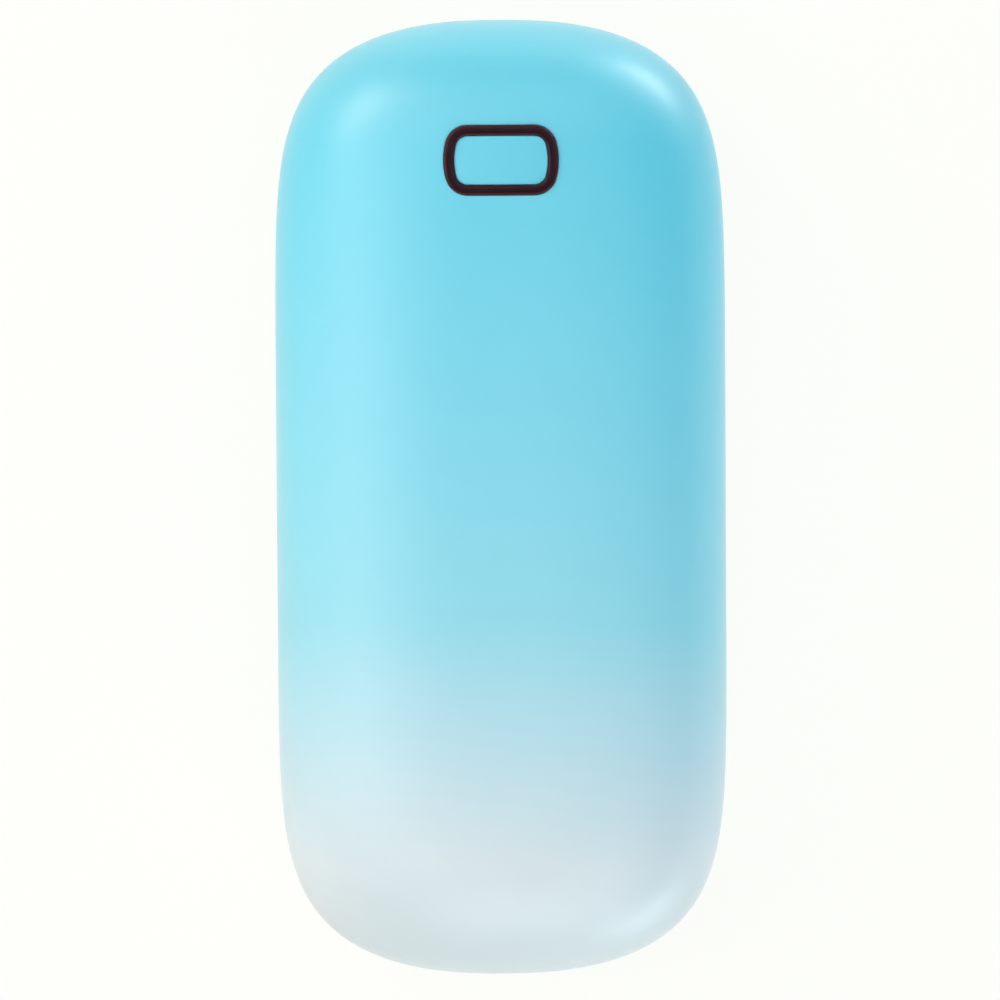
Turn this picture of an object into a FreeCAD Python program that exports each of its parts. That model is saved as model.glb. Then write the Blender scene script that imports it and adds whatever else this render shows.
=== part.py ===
import FreeCAD
import Part
import math
import os

# A pocket hand warmer lying on its back: X across it, Y along it towards the charging socket,
# Z up through the front face. The origin is the middle of the flat that it rests on. Millimetres.

vector = FreeCAD.Vector
overrun = 2.0  # how far a cutting body reaches past what it cuts

# Battery cells, the pieces that the case is drawn round
cell_diameter = 18.4
cell_length = 65.2
cell_gap = 0.8
cell_edge_radius = 0.8
cell_crimp_depth = 0.45
cell_crimp_width = 1.5
cell_crimp_from_end = 2.6
nub_diameter = 6.0
nub_height = 0.7
washer_thickness = 0.2
washer_margin = 1.2
nub_clearance = 0.3

# Layers from the outer face in to the cells
wall = 1.8
bond_gap = 0.1
plate_thickness = 0.6
film_thickness = 0.2
foam_thickness = 0.95
foam_gap = 0.15

# Room left round the cells, out to the outer face
side_room = 5.2
tail_room = 12.5

# How far the rounding of the case reaches in from its sides and ends
side_roll = 16.5
end_roll = 13.0
section_count = 19

# Points of a quarter of the case outline, up the side and then across the end
outline_rise_shares = (0, 0.25, 0.45, 0.6, 0.7, 0.78, 0.84, 0.89, 0.93, 0.96)
outline_cross_shares = (0.48, 0.38, 0.28, 0.18, 0.09, 0)

# Seam between the shells
seam_width = 0.3
seam_depth = 0.3
lip_thickness = 0.8
lip_height = 1.5
lip_clearance = 0.06
bead_depth = 0.22
bead_height = 0.5
bead_length = 7.0
bead_from_seam = 0.6
bead_side_shares = (-0.7, -0.1, 0.4)

# Light ring round the button
ring_width = 11.9
ring_height = 7.2
ring_corner_radius = 2.3
ring_bow_radius = 7.5
ring_band = 0.9
ring_from_end = 15.1
ring_proud = 0.25
ring_edge_radius = 0.2
ring_seat_depth = 2.4
ring_flange_width = 0.8
ring_flange_thickness = 0.8
ring_fit = 0.06
collar_wall = 1.2
leg_thickness = 0.8
leg_width = 4.4
leg_gap = 0.4

# Button cap
button_clearance = 0.12
button_proud = 0.05
button_dome_radius = 70.0
button_edge_radius = 0.2
button_wall = 1.0
button_flange_reach = 0.7
button_flange_thickness = 0.9
button_flange_gap = 0.1
button_flange_end_gap = 0.5
button_stem_diameter = 3.2
button_rib = 0.8

# Circuit board
board_thickness = 1.2
board_width = 25.0
board_gap = 1.5
board_lead_row = 3.5
board_shoulder = 4.7
board_tongue_width = 11.0
board_end_clearance = 1.0
board_corner_radius = 1.2

# Charging socket
socket_width = 8.94
socket_height = 3.26
socket_length = 7.35
socket_skin = 0.3
socket_recess = 0.5
socket_base_length = 1.7
socket_fit = 0.03
tongue_width = 6.7
tongue_thickness = 0.7
tongue_setback = 0.9
contact_count = 12
contact_pitch = 0.5
contact_width = 0.26
contact_thickness = 0.06
contact_length = 3.6
contact_setback = 0.4
port_clearance = 0.2

# Push switch under the button
switch_width = 6.0
switch_base_height = 2.9
switch_cover_thickness = 0.3
switch_height = 7.0
plunger_diameter = 3.4
plunger_clearance = 0.2
plunger_flange_diameter = 4.4
plunger_flange_thickness = 0.7
pocket_clearance = 0.25
dome_rise = 0.5
dome_thickness = 0.1
dome_gap = 0.04

# Parts on the board
led_length = 1.6
led_width = 0.8
led_height = 0.7
led_spacing = 2.6
chip_width = 4.0
chip_height = 0.9
board_part_gap = 1.3
inductor_width = 4.2
inductor_height = 2.4
inductor_corner_radius = 0.6
transistor_length = 3.2
transistor_width = 2.6
transistor_height = 0.9
transistor_spacing = 8.0
capacitor_length = 1.6
capacitor_width = 0.8
capacitor_height = 0.8
capacitor_count = 4
capacitor_pitch = 1.6

# Board screws, their bosses and the locating posts
screw_edge_gap = 1.9
screw_shank_diameter = 1.5
screw_length = 5.0
screw_head_diameter = 3.2
screw_head_height = 1.1
screw_head_edge_radius = 0.5
screw_fit = 0.05
boss_diameter = 4.4
post_diameter = 3.6
pin_diameter = 1.4
pin_proud = 0.6
pin_fit = 0.1

# Brackets that hold the two ends of the cells, and the ribs of the shells that hold the brackets
bracket_depth = 7.6
bracket_wall = 0.9
bracket_flange = 1.2
bracket_flat = 0.2
bracket_fit = 0.1
bracket_case_gap = 0.25
terminal_window = 13.0
rib_thickness = 2.0
rib_length = 8.0
rib_from_middle = 4.0

# Nickel strips
strip_width = 6.0
strip_thickness = 0.2
strip_past_nub = 3.6
strip_clearance = 0.3
tail_width = 3.0

# Heated area
plate_width = 34.0
plate_end_gap = 1.0
plate_corner_radius = 5.0
film_margin = 0.8
film_tail = 4.0

# Leads and temperature sensor
power_lead_diameter = 1.4
power_lead_bend = 1.0
power_lead_offset = 6.0
heater_lead_diameter = 0.9
heater_lead_bend = 2.5
heater_lead_offset = 2.0
sensor_lead_diameter = 0.6
sensor_lead_bend = 2.0
sensor_lead_offset = 0.45
lead_clearance = 0.35
lead_touch_gap = 0.05
board_edge_margin = 1.0
sensor_length = 3.4
sensor_from_cell_top = 22.0

# Sizes that follow from those above
cell_radius = cell_diameter / 2
cell_pitch = cell_diameter + cell_gap
cell_offset = cell_pitch / 2
film_inset = wall + bond_gap + plate_thickness
foam_inset = film_inset + film_thickness
layer_depth = foam_inset + foam_thickness + foam_gap
case_width = cell_pitch + cell_diameter + 2 * side_room
board_low_from_cells = bracket_flange + board_gap
board_bay = board_low_from_cells + board_lead_row + switch_width / 2 + ring_from_end
case_length = tail_room + cell_length + board_bay
case_thickness = cell_diameter + 2 * layer_depth
middle_z = case_thickness / 2
far_y = case_length / 2
flat_half_width = case_width / 2 - side_roll
flat_half_length = far_y - end_roll
cell_low_y = tail_room - far_y
cell_high_y = cell_low_y + cell_length
cell_shoulder_y = cell_high_y - nub_height
ring_y = far_y - ring_from_end
ring_seat_z = case_thickness - ring_seat_depth
ring_low_z = ring_seat_z - ring_flange_thickness
leg_x = ring_width / 2 - ring_fit - leg_thickness / 2
board_top_z = middle_z - socket_height / 2
board_low_z = board_top_z - board_thickness
board_low_y = cell_high_y + board_low_from_cells
board_high_y = far_y - wall - board_end_clearance
board_shoulder_y = board_high_y - board_shoulder
socket_high_y = far_y - socket_recess
socket_low_y = socket_high_y - socket_length
switch_cover_z = board_top_z + switch_base_height
plunger_top_z = board_top_z + switch_height
plunger_low_z = switch_cover_z - plunger_flange_thickness
dome_top_z = plunger_low_z - dome_gap
dome_floor_z = dome_top_z - dome_rise
pocket_radius = plunger_flange_diameter / 2 + pocket_clearance
button_flange_top_z = ring_low_z - button_flange_gap
button_flange_low_z = button_flange_top_z - button_flange_thickness
button_inset = ring_band + button_clearance
button_top_z = case_thickness + button_proud
screw_x = board_width / 2 - screw_edge_gap
screw_y = board_low_y + screw_edge_gap
post_y = board_shoulder_y - screw_edge_gap
bracket_half_height = cell_radius - bracket_flat
strip_half_width = strip_width / 2
tail_bracket_low_y = cell_low_y - bracket_flange
tail_bracket_high_y = tail_bracket_low_y + bracket_depth
head_bracket_high_y = cell_shoulder_y + washer_thickness + bracket_flange
head_bracket_low_y = head_bracket_high_y - bracket_depth
plate_low_y = tail_bracket_high_y + plate_end_gap
plate_high_y = head_bracket_low_y - plate_end_gap
chip_low_y = screw_y + screw_head_diameter / 2 + board_part_gap
chip_from_middle = leg_x + leg_thickness / 2 + board_part_gap
valley_height = strip_half_width + lead_clearance + power_lead_diameter / 2
valley_radius = math.hypot(cell_offset, valley_height) - cell_radius - lead_touch_gap
lead_hole_radius = power_lead_diameter / 2 + lead_clearance


# Plain bodies

def block(x_low, x_high, y_low, y_high, z_low, z_high):
    corner = vector(x_low, y_low, z_low)
    return Part.makeBox(x_high - x_low, y_high - y_low, z_high - z_low, corner)


def slab(z_low, z_high):
    half_width = case_width / 2 + overrun
    half_length = far_y + overrun
    return block(-half_width, half_width, -half_length, half_length, z_low, z_high)


def upright(radius, x, y, z_low, z_high):
    return Part.makeCylinder(radius, z_high - z_low, vector(x, y, z_low))


def lengthwise(radius, x, z, y_low, y_high):
    return Part.makeCylinder(radius, y_high - y_low, vector(x, y_low, z), vector(0, 1, 0))


def mirrored_across(shape):
    return shape.mirror(vector(0, 0, 0), vector(1, 0, 0))


def mirrored_upright(shape):
    return shape.mirror(vector(0, 0, middle_z), vector(0, 0, 1))


def rounded_block(x_low, x_high, y_low, y_high, z_low, z_high, radius):
    body = block(x_low, x_high, y_low, y_high, z_low, z_high)
    corners = [edge for edge in body.Edges if edge.BoundBox.ZLength > (z_high - z_low) / 2]
    return body.makeFillet(radius, corners)


# Form of the case

def outline_quarter(half_width, half_length, side_power=2.37, end_power=7.4):
    # |x / half_width| ^ side_power + |y / half_length| ^ end_power = 1, from the side to the end
    up_side = [
        (half_width * (1 - share ** end_power) ** (1 / side_power), half_length * share)
        for share in outline_rise_shares
    ]
    across_end = [
        (half_width * share, half_length * (1 - share ** side_power) ** (1 / end_power))
        for share in outline_cross_shares
    ]
    return up_side + across_end


def outline_stations():
    # Spline parameters by chord length, the same at every level so that the levels blend evenly
    points = outline_quarter(case_width / 2, far_y)
    travelled = [0]
    for (x_from, y_from), (x_to, y_to) in zip(points, points[1:]):
        travelled.append(travelled[-1] + math.hypot(x_to - x_from, y_to - y_from))
    return [distance / travelled[-1] for distance in travelled]


def outline_wire(half_width, half_length, z):
    curve = Part.BSplineCurve()
    curve.interpolate(
        Points=[vector(x, y, z) for x, y in outline_quarter(half_width, half_length)],
        Parameters=outline_stations(),
        InitialTangent=vector(0, 1, 0),
        FinalTangent=vector(-1, 0, 0),
    )
    right_far = curve.toShape()
    left_far = mirrored_across(right_far)
    right_near = right_far.mirror(vector(0, 0, 0), vector(0, 1, 0))
    left_near = left_far.mirror(vector(0, 0, 0), vector(0, 1, 0))
    return Part.Wire([right_far, left_far, left_near, right_near])


pebbles = {}


def pebble(inset, roll_power=2.2):
    # The case moved in by an inset: outlines that widen from the flat of the back to the seam
    # and close to the flat of the front along a superellipse
    if inset in pebbles:
        return pebbles[inset]
    levels = []
    for index in range(section_count):
        angle = math.pi * (index / (section_count - 1) - 1 / 2)
        spread = max(math.cos(angle), 0) ** (2 / roll_power)
        lift = math.copysign(abs(math.sin(angle)) ** (2 / roll_power), angle)
        levels.append(outline_wire(
            flat_half_width + (side_roll - inset) * spread,
            flat_half_length + (end_roll - inset) * spread,
            middle_z + (middle_z - inset) * lift,
        ))
    pebbles[inset] = Part.makeLoft(levels, True)
    return pebbles[inset]


# Outline of the ring and the button

def bowed_outline(half_width, half_height, corner_radius, bow_radius):
    # A rounded rectangle whose two short sides are bowed by an arc
    bow_x = half_width - bow_radius
    corner_y = half_height - corner_radius
    corner_x = bow_x + math.sqrt((bow_radius - corner_radius) ** 2 - corner_y ** 2)
    meeting_angle = math.atan2(corner_y, corner_x - bow_x)
    corner_angle = (meeting_angle + math.pi / 2) / 2
    meeting = vector(bow_x + bow_radius * math.cos(meeting_angle), bow_radius * math.sin(meeting_angle), 0)
    on_corner = vector(
        corner_x + corner_radius * math.cos(corner_angle),
        corner_y + corner_radius * math.sin(corner_angle),
        0,
    )
    long_end = vector(corner_x, half_height, 0)

    def below(point):
        return vector(point.x, -point.y, 0)

    upper = Part.Arc(meeting, on_corner, long_end).toShape()
    bow = Part.Arc(below(meeting), vector(half_width, 0, 0), meeting).toShape()
    lower = Part.Arc(below(long_end), below(on_corner), below(meeting)).toShape()
    left_end = vector(-corner_x, half_height, 0)
    top_side = Part.makeLine(long_end, left_end)
    bottom_side = Part.makeLine(below(left_end), below(long_end))
    left_arcs = [mirrored_across(arc) for arc in (upper, bow, lower)]
    return Part.Wire([lower, bow, upper, top_side] + left_arcs + [bottom_side])


def ring_prism(inset, z_low, z_high):
    outline = bowed_outline(
        ring_width / 2 - inset,
        ring_height / 2 - inset,
        ring_corner_radius - inset,
        ring_bow_radius - inset,
    )
    body = Part.Face(outline).extrude(vector(0, 0, z_high - z_low))
    return body.translated(vector(0, ring_y, z_low))


# Shells

def port_outline_body(margin, y_low, y_high):
    # A flat-sided oval bar along Y with the outline of the socket grown by a margin
    half_height = socket_height / 2 + margin
    half_straight = (socket_width - socket_height) / 2
    body = block(-half_straight, half_straight, y_low, y_high, middle_z - half_height, middle_z + half_height)
    for side in (-1, 1):
        body = body.fuse(lengthwise(half_height, side * half_straight, middle_z, y_low, y_high))
    return body.removeSplitter()


def seam_groove():
    return slab(middle_z - seam_width / 2, middle_z + seam_width / 2).cut(pebble(seam_depth))


def bead_stations(margin):
    half_width = case_width / 2 + overrun
    half_length = bead_length / 2 + margin
    places = [share * flat_half_length for share in bead_side_shares]
    z_low = middle_z + bead_from_seam - margin
    z_high = z_low + bead_height + 2 * margin
    strips = [block(-half_width, half_width, y - half_length, y + half_length, z_low, z_high) for y in places]
    return strips[0].multiFuse(strips[1:])


def bracket_ribs():
    # Ribs of the rear shell under the flats of the brackets, hollowed over the crest of the cells
    top_z = middle_z - bracket_half_height
    ribs = []
    for bracket_low_y in (tail_bracket_low_y, head_bracket_low_y):
        rib_low_y = bracket_low_y + (bracket_depth - rib_thickness) / 2
        rib_high_y = rib_low_y + rib_thickness
        right = block(rib_from_middle, rib_from_middle + rib_length, rib_low_y, rib_high_y, 0, top_z)
        right = right.cut(lengthwise(cell_radius + bracket_fit, cell_offset, middle_z, rib_low_y, rib_high_y))
        ribs += [right, mirrored_across(right)]
    return ribs


def rear_shell():
    bowl = pebble(0).common(slab(-overrun, middle_z))
    lip = pebble(wall - lip_thickness).common(slab(middle_z, middle_z + lip_height))
    beads = pebble(wall - lip_thickness - bead_depth).common(bead_stations(0))
    shell = bowl.fuse(lip).fuse(beads).cut(pebble(wall))
    for side in (-1, 1):
        boss = upright(boss_diameter / 2, side * screw_x, screw_y, 0, board_low_z)
        post = upright(post_diameter / 2, side * screw_x, post_y, 0, board_low_z)
        pin = upright(pin_diameter / 2, side * screw_x, post_y, 0, board_top_z + pin_proud)
        for piece in (boss, post, pin):
            shell = shell.fuse(piece.common(pebble(wall / 2)))
        bore = screw_shank_diameter / 2 + screw_fit
        shell = shell.cut(upright(bore, side * screw_x, screw_y, board_low_z - screw_length, board_low_z))
    for rib in bracket_ribs():
        shell = shell.fuse(rib.common(pebble(wall / 2)))
    shell = shell.cut(seam_groove())
    shell = shell.cut(port_outline_body(port_clearance, far_y - wall - overrun, far_y + overrun))
    return shell.removeSplitter()


def front_shell():
    lid = pebble(0).common(slab(middle_z, case_thickness + overrun)).cut(pebble(wall))
    rebate_inset = wall - lip_thickness - lip_clearance
    rebate = pebble(rebate_inset).common(slab(middle_z - overrun, middle_z + lip_height + lip_clearance))
    notches = pebble(rebate_inset - bead_depth).common(bead_stations(lip_clearance))
    shell = lid.cut(rebate).cut(notches)
    collar = ring_prism(-ring_flange_width - collar_wall, ring_low_z, case_thickness)
    shell = shell.fuse(collar.common(pebble(wall / 2)))
    shell = shell.cut(ring_prism(-ring_fit, ring_low_z - overrun, case_thickness + overrun))
    shell = shell.cut(ring_prism(-ring_flange_width - ring_fit, ring_low_z - overrun, ring_seat_z))
    for rib in bracket_ribs():
        shell = shell.fuse(mirrored_upright(rib).common(pebble(wall / 2)))
    shell = shell.cut(seam_groove())
    shell = shell.cut(port_outline_body(port_clearance, far_y - wall - overrun, far_y + overrun))
    return shell.removeSplitter()


# Ring, button and switch

def edges_at(shape, z):
    tolerance = overrun / 1000
    return [edge for edge in shape.Edges if abs(edge.BoundBox.ZMin - z) + abs(edge.BoundBox.ZMax - z) < tolerance]


def light_ring():
    top_z = case_thickness + ring_proud
    band = ring_prism(0, ring_low_z, top_z).cut(ring_prism(ring_band, ring_low_z, top_z))
    band = band.makeFillet(ring_edge_radius, edges_at(band, top_z))
    flange = ring_prism(-ring_flange_width, ring_low_z, ring_seat_z)
    band = band.fuse(flange.cut(ring_prism(ring_band, ring_low_z, ring_seat_z)))
    leg_low_z = board_top_z + led_height + leg_gap
    for side in (-1, 1):
        inner_x = side * leg_x - leg_thickness / 2
        outer_x = inner_x + leg_thickness
        half_width = leg_width / 2
        leg = block(inner_x, outer_x, ring_y - half_width, ring_y + half_width, leg_low_z, ring_seat_z)
        band = band.fuse(leg.cut(ring_prism(ring_band, ring_low_z, ring_seat_z)))
    return band.removeSplitter()


def button_cap():
    cap = ring_prism(button_inset, button_flange_low_z, button_top_z)
    dome_centre = vector(0, ring_y, button_top_z - button_dome_radius)
    cap = cap.common(Part.makeSphere(button_dome_radius, dome_centre))
    crown = [edge for edge in cap.Edges if edge.BoundBox.ZMin > ring_seat_z]
    cap = cap.makeFillet(button_edge_radius, crown)
    half_height = ring_height / 2 - ring_band + button_flange_reach
    half_width = leg_x - leg_thickness / 2 - button_flange_end_gap
    flange = rounded_block(
        -half_width, half_width, ring_y - half_height, ring_y + half_height,
        button_flange_low_z, button_flange_top_z, ring_corner_radius - ring_band,
    )
    hollow_x = ring_width / 2 - button_inset - button_wall
    hollow_y = ring_height / 2 - button_inset - button_wall
    hollow = block(
        -hollow_x, hollow_x, ring_y - hollow_y, ring_y + hollow_y,
        button_flange_low_z, button_top_z - 2 * button_wall,
    )
    cap = cap.fuse(flange).cut(hollow)
    cap = cap.fuse(upright(button_stem_diameter / 2, 0, ring_y, plunger_top_z, button_top_z - button_wall))
    rib_reach = ring_width / 2 - button_inset - button_wall / 2
    rib = block(
        -rib_reach, rib_reach, ring_y - button_rib / 2, ring_y + button_rib / 2,
        button_flange_low_z, button_top_z - button_wall,
    )
    return cap.fuse(rib).removeSplitter()


def switch_base():
    half = switch_width / 2
    body = block(-half, half, ring_y - half, ring_y + half, board_top_z, switch_cover_z)
    return body.cut(upright(pocket_radius, 0, ring_y, dome_floor_z, switch_cover_z))


def switch_cover():
    half = switch_width / 2
    top_z = switch_cover_z + switch_cover_thickness
    plate = rounded_block(
        -half, half, ring_y - half, ring_y + half, switch_cover_z, top_z, switch_cover_thickness,
    )
    return plate.cut(upright(plunger_diameter / 2 + plunger_clearance, 0, ring_y, switch_cover_z, top_z))


def switch_dome():
    rim_radius = plunger_flange_diameter / 2
    sphere_radius = (rim_radius ** 2 + dome_rise ** 2) / (2 * dome_rise)
    centre = vector(0, ring_y, dome_top_z - sphere_radius)
    skin = Part.makeSphere(sphere_radius, centre).cut(Part.makeSphere(sphere_radius - dome_thickness, centre))
    return skin.common(slab(dome_floor_z, dome_top_z + overrun))


def switch_plunger():
    flange = upright(plunger_flange_diameter / 2, 0, ring_y, plunger_low_z, switch_cover_z)
    stem = upright(plunger_diameter / 2, 0, ring_y, plunger_low_z, plunger_top_z)
    return flange.fuse(stem).removeSplitter()


# Board and what it carries

def circuit_board():
    half_width = board_width / 2
    half_tongue = board_tongue_width / 2
    body = rounded_block(
        -half_width, half_width, board_low_y, board_shoulder_y, board_low_z, board_top_z, board_corner_radius,
    )
    tongue = block(-half_tongue, half_tongue, board_shoulder_y - overrun, board_high_y, board_low_z, board_top_z)
    body = body.fuse(tongue).removeSplitter()
    for side in (-1, 1):
        screw_hole = screw_shank_diameter / 2 + pin_fit
        pin_hole = pin_diameter / 2 + pin_fit
        body = body.cut(upright(screw_hole, side * screw_x, screw_y, board_low_z, board_top_z))
        body = body.cut(upright(pin_hole, side * screw_x, post_y, board_low_z, board_top_z))
    return body


def board_screws():
    screws = []
    head_z = board_top_z + screw_head_height
    for side in (-1, 1):
        head = upright(screw_head_diameter / 2, side * screw_x, screw_y, board_top_z, head_z)
        head = head.makeFillet(screw_head_edge_radius, edges_at(head, head_z))
        low_z = board_top_z - screw_length
        screws.append(head.fuse(upright(screw_shank_diameter / 2, side * screw_x, screw_y, low_z, head_z)))
    return Part.makeCompound([screw.removeSplitter() for screw in screws])


def usb_socket_shell():
    outside = port_outline_body(0, socket_low_y, socket_high_y)
    return outside.cut(port_outline_body(-socket_skin, socket_low_y, socket_high_y))


def usb_socket_tongue():
    base_high_y = socket_low_y + socket_base_length
    base = port_outline_body(-socket_skin - socket_fit, socket_low_y, base_high_y)
    half_width = tongue_width / 2
    half_thickness = tongue_thickness / 2
    tip_y = socket_high_y - tongue_setback
    tongue = rounded_block(
        -half_width, half_width, socket_low_y, tip_y,
        middle_z - half_thickness, middle_z + half_thickness, tongue_thickness / 2,
    )
    return base.fuse(tongue).removeSplitter()


def usb_contacts():
    high_y = socket_high_y - tongue_setback - contact_setback
    low_y = high_y - contact_length
    half_width = contact_width / 2
    contacts = []
    for index in range(contact_count):
        x = (index - (contact_count - 1) / 2) * contact_pitch
        face_z = middle_z + tongue_thickness / 2
        upper = block(x - half_width, x + half_width, low_y, high_y, face_z, face_z + contact_thickness)
        contacts += [upper, mirrored_upright(upper)]
    return Part.makeCompound(contacts)


def indicator_leds():
    leds = []
    for side in (-1, 1):
        for end in (-1, 1):
            x = side * leg_x
            y = ring_y + end * led_spacing / 2
            leds.append(block(
                x - led_width / 2, x + led_width / 2, y - led_length / 2, y + led_length / 2,
                board_top_z, board_top_z + led_height,
            ))
    return Part.makeCompound(leds)


def main_chip():
    low_x = -chip_from_middle - chip_width
    high_y = chip_low_y + chip_width
    return block(low_x, -chip_from_middle, chip_low_y, high_y, board_top_z, board_top_z + chip_height)


def power_inductor():
    high_x = chip_from_middle + inductor_width
    return rounded_block(
        chip_from_middle, high_x, chip_low_y, chip_low_y + inductor_width,
        board_top_z, board_top_z + inductor_height, inductor_corner_radius,
    )


def heater_transistors():
    low_z = board_low_z - transistor_height
    pair = []
    for side in (-1, 1):
        low_x = (side * transistor_spacing - transistor_length) / 2
        low_y = ring_y - transistor_width / 2
        pair.append(block(low_x, low_x + transistor_length, low_y, low_y + transistor_width, low_z, board_low_z))
    return Part.makeCompound(pair)


def board_capacitors():
    low_y = ring_y + transistor_width + capacitor_length
    low_z = board_low_z - capacitor_height
    row = []
    for index in range(capacitor_count):
        low_x = (index - (capacitor_count - 1) / 2) * capacitor_pitch - capacitor_width / 2
        row.append(block(low_x, low_x + capacitor_width, low_y, low_y + capacitor_length, low_z, board_low_z))
    return Part.makeCompound(row)


# Battery

def battery_cell(side):
    # Half section in radius and Y: rolled tail edge, straight can, crimp groove, shoulder, nub
    edge = cell_edge_radius
    groove_high = cell_shoulder_y - cell_crimp_from_end
    groove_low = groove_high - cell_crimp_width
    groove_middle = (groove_low + groove_high) / 2
    bend = edge * (1 - math.sqrt(1 / 2))

    def at(radius, y):
        return vector(radius, y, 0)

    nub_radius = nub_diameter / 2
    section = [
        Part.makeLine(at(0, cell_low_y), at(cell_radius - edge, cell_low_y)),
        Part.Arc(
            at(cell_radius - edge, cell_low_y), at(cell_radius - bend, cell_low_y + bend),
            at(cell_radius, cell_low_y + edge),
        ).toShape(),
        Part.makeLine(at(cell_radius, cell_low_y + edge), at(cell_radius, groove_low)),
        Part.Arc(
            at(cell_radius, groove_low), at(cell_radius - cell_crimp_depth, groove_middle),
            at(cell_radius, groove_high),
        ).toShape(),
        Part.makeLine(at(cell_radius, groove_high), at(cell_radius, cell_shoulder_y - edge)),
        Part.Arc(
            at(cell_radius, cell_shoulder_y - edge), at(cell_radius - bend, cell_shoulder_y - bend),
            at(cell_radius - edge, cell_shoulder_y),
        ).toShape(),
        Part.makeLine(at(cell_radius - edge, cell_shoulder_y), at(nub_radius, cell_shoulder_y)),
        Part.makeLine(at(nub_radius, cell_shoulder_y), at(nub_radius, cell_high_y)),
        Part.makeLine(at(nub_radius, cell_high_y), at(0, cell_high_y)),
        Part.makeLine(at(0, cell_high_y), at(0, cell_low_y)),
    ]
    can = Part.Face(Part.Wire(section)).revolve(vector(0, 0, 0), vector(0, 1, 0), 360)
    return can.translated(vector(side * cell_offset, 0, middle_z))


def cell_washers():
    high_y = cell_shoulder_y + washer_thickness
    washers = []
    for side in (-1, 1):
        x = side * cell_offset
        disc = lengthwise(cell_radius - washer_margin, x, middle_z, cell_shoulder_y, high_y)
        hole = lengthwise(nub_diameter / 2 + nub_clearance, x, middle_z, cell_shoulder_y, high_y)
        washers.append(disc.cut(hole))
    return Part.makeCompound(washers)


def terminal_strip(low_y):
    half_length = cell_offset + strip_past_nub
    return block(
        -half_length, half_length, low_y, low_y + strip_thickness,
        middle_z - strip_half_width, middle_z + strip_half_width,
    )


def positive_strip():
    return terminal_strip(cell_high_y)


def negative_strip():
    low_y = cell_low_y - strip_thickness
    low_z = middle_z - valley_height - power_lead_diameter / 2
    tail = block(-tail_width / 2, tail_width / 2, low_y, cell_low_y, low_z, middle_z)
    return terminal_strip(low_y).fuse(tail).removeSplitter()


def cell_bracket(low_y, bore_low_y, bore_high_y):
    # Two open cups side by side, cut flat above and below, with windows for the strip and the leads
    high_y = low_y + bracket_depth
    reach = cell_radius + bracket_fit + bracket_wall
    half_height = bracket_half_height
    body = block(-cell_offset, cell_offset, low_y, high_y, middle_z - reach, middle_z + reach)
    for side in (-1, 1):
        body = body.fuse(lengthwise(reach, side * cell_offset, middle_z, low_y, high_y))
    body = body.common(slab(middle_z - half_height, middle_z + half_height))
    for side in (-1, 1):
        x = side * cell_offset
        body = body.cut(lengthwise(cell_radius + bracket_fit, x, middle_z, bore_low_y, bore_high_y))
        body = body.cut(lengthwise(terminal_window / 2, x, middle_z, low_y, high_y))
    slot_low_z = middle_z - valley_height
    slot_high_z = middle_z + valley_height
    body = body.cut(block(-cell_offset, cell_offset, low_y, high_y, slot_low_z, slot_high_z))
    for level in (slot_low_z, slot_high_z):
        body = body.cut(lengthwise(lead_hole_radius, 0, level, low_y, high_y))
    return body.common(pebble(wall + bracket_case_gap)).removeSplitter()


def tail_bracket():
    half_slot = tail_width / 2 + strip_clearance
    slot_low_z = middle_z - valley_height - power_lead_diameter / 2 - strip_clearance
    slot = block(-half_slot, half_slot, tail_bracket_low_y, cell_low_y, slot_low_z, middle_z)
    return cell_bracket(tail_bracket_low_y, cell_low_y, tail_bracket_high_y).cut(slot)


def head_bracket():
    return cell_bracket(head_bracket_low_y, head_bracket_low_y, head_bracket_high_y - bracket_flange)


# Heated layers, the front one of each pair

def heated_layer(inset, thickness, margin, tail):
    half_width = plate_width / 2 - margin
    window = rounded_block(
        -half_width, half_width, plate_low_y + margin, plate_high_y - margin - tail,
        middle_z, case_thickness, plate_corner_radius - margin,
    )
    return pebble(inset).cut(pebble(inset + thickness)).common(window)


def front_heat_plate():
    return heated_layer(wall + bond_gap, plate_thickness, 0, 0)


def front_heater_film():
    return heated_layer(film_inset, film_thickness, film_margin, 0)


def front_foam_pad():
    # Hollowed where it lies over the cells
    pad = heated_layer(foam_inset, foam_thickness, 2 * film_margin, film_tail)
    for side in (-1, 1):
        pad = pad.cut(lengthwise(cell_radius + foam_gap, side * cell_offset, middle_z, plate_low_y, plate_high_y))
    return pad


# Leads: straight runs with a tangent arc at the turn

def lead(start, turn, end, diameter, bend):
    before = (turn - start).normalize()
    after = (end - turn).normalize()
    bend_from = turn - before * bend
    bend_to = turn + after * bend
    centre = bend_from + after * bend
    on_arc = centre + (turn - centre).normalize() * bend
    route = Part.Wire([
        Part.makeLine(start, bend_from),
        Part.Arc(bend_from, on_arc, bend_to).toShape(),
        Part.makeLine(bend_to, end),
    ])
    section = Part.Wire([Part.makeCircle(diameter / 2, start, before)])
    body = route.makePipeShell([section], True, False)
    expected = math.pi * diameter ** 2 / 4 * route.Length
    print("lead", round(route.Length, 1), "mm long, volume over section times length", round(body.Volume / expected, 4))
    return body


def positive_lead():
    start = vector(power_lead_offset, cell_high_y + strip_thickness, middle_z)
    turn = vector(power_lead_offset, board_low_y + power_lead_diameter + board_edge_margin, middle_z)
    return lead(start, turn, vector(turn.x, turn.y, board_top_z), power_lead_diameter, power_lead_bend)


def negative_lead():
    level = middle_z - valley_height
    turn = vector(0, board_low_y + power_lead_diameter + board_edge_margin, level)
    end = vector(0, turn.y, board_low_z)
    return lead(vector(0, cell_low_y, level), turn, end, power_lead_diameter, power_lead_bend)


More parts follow.
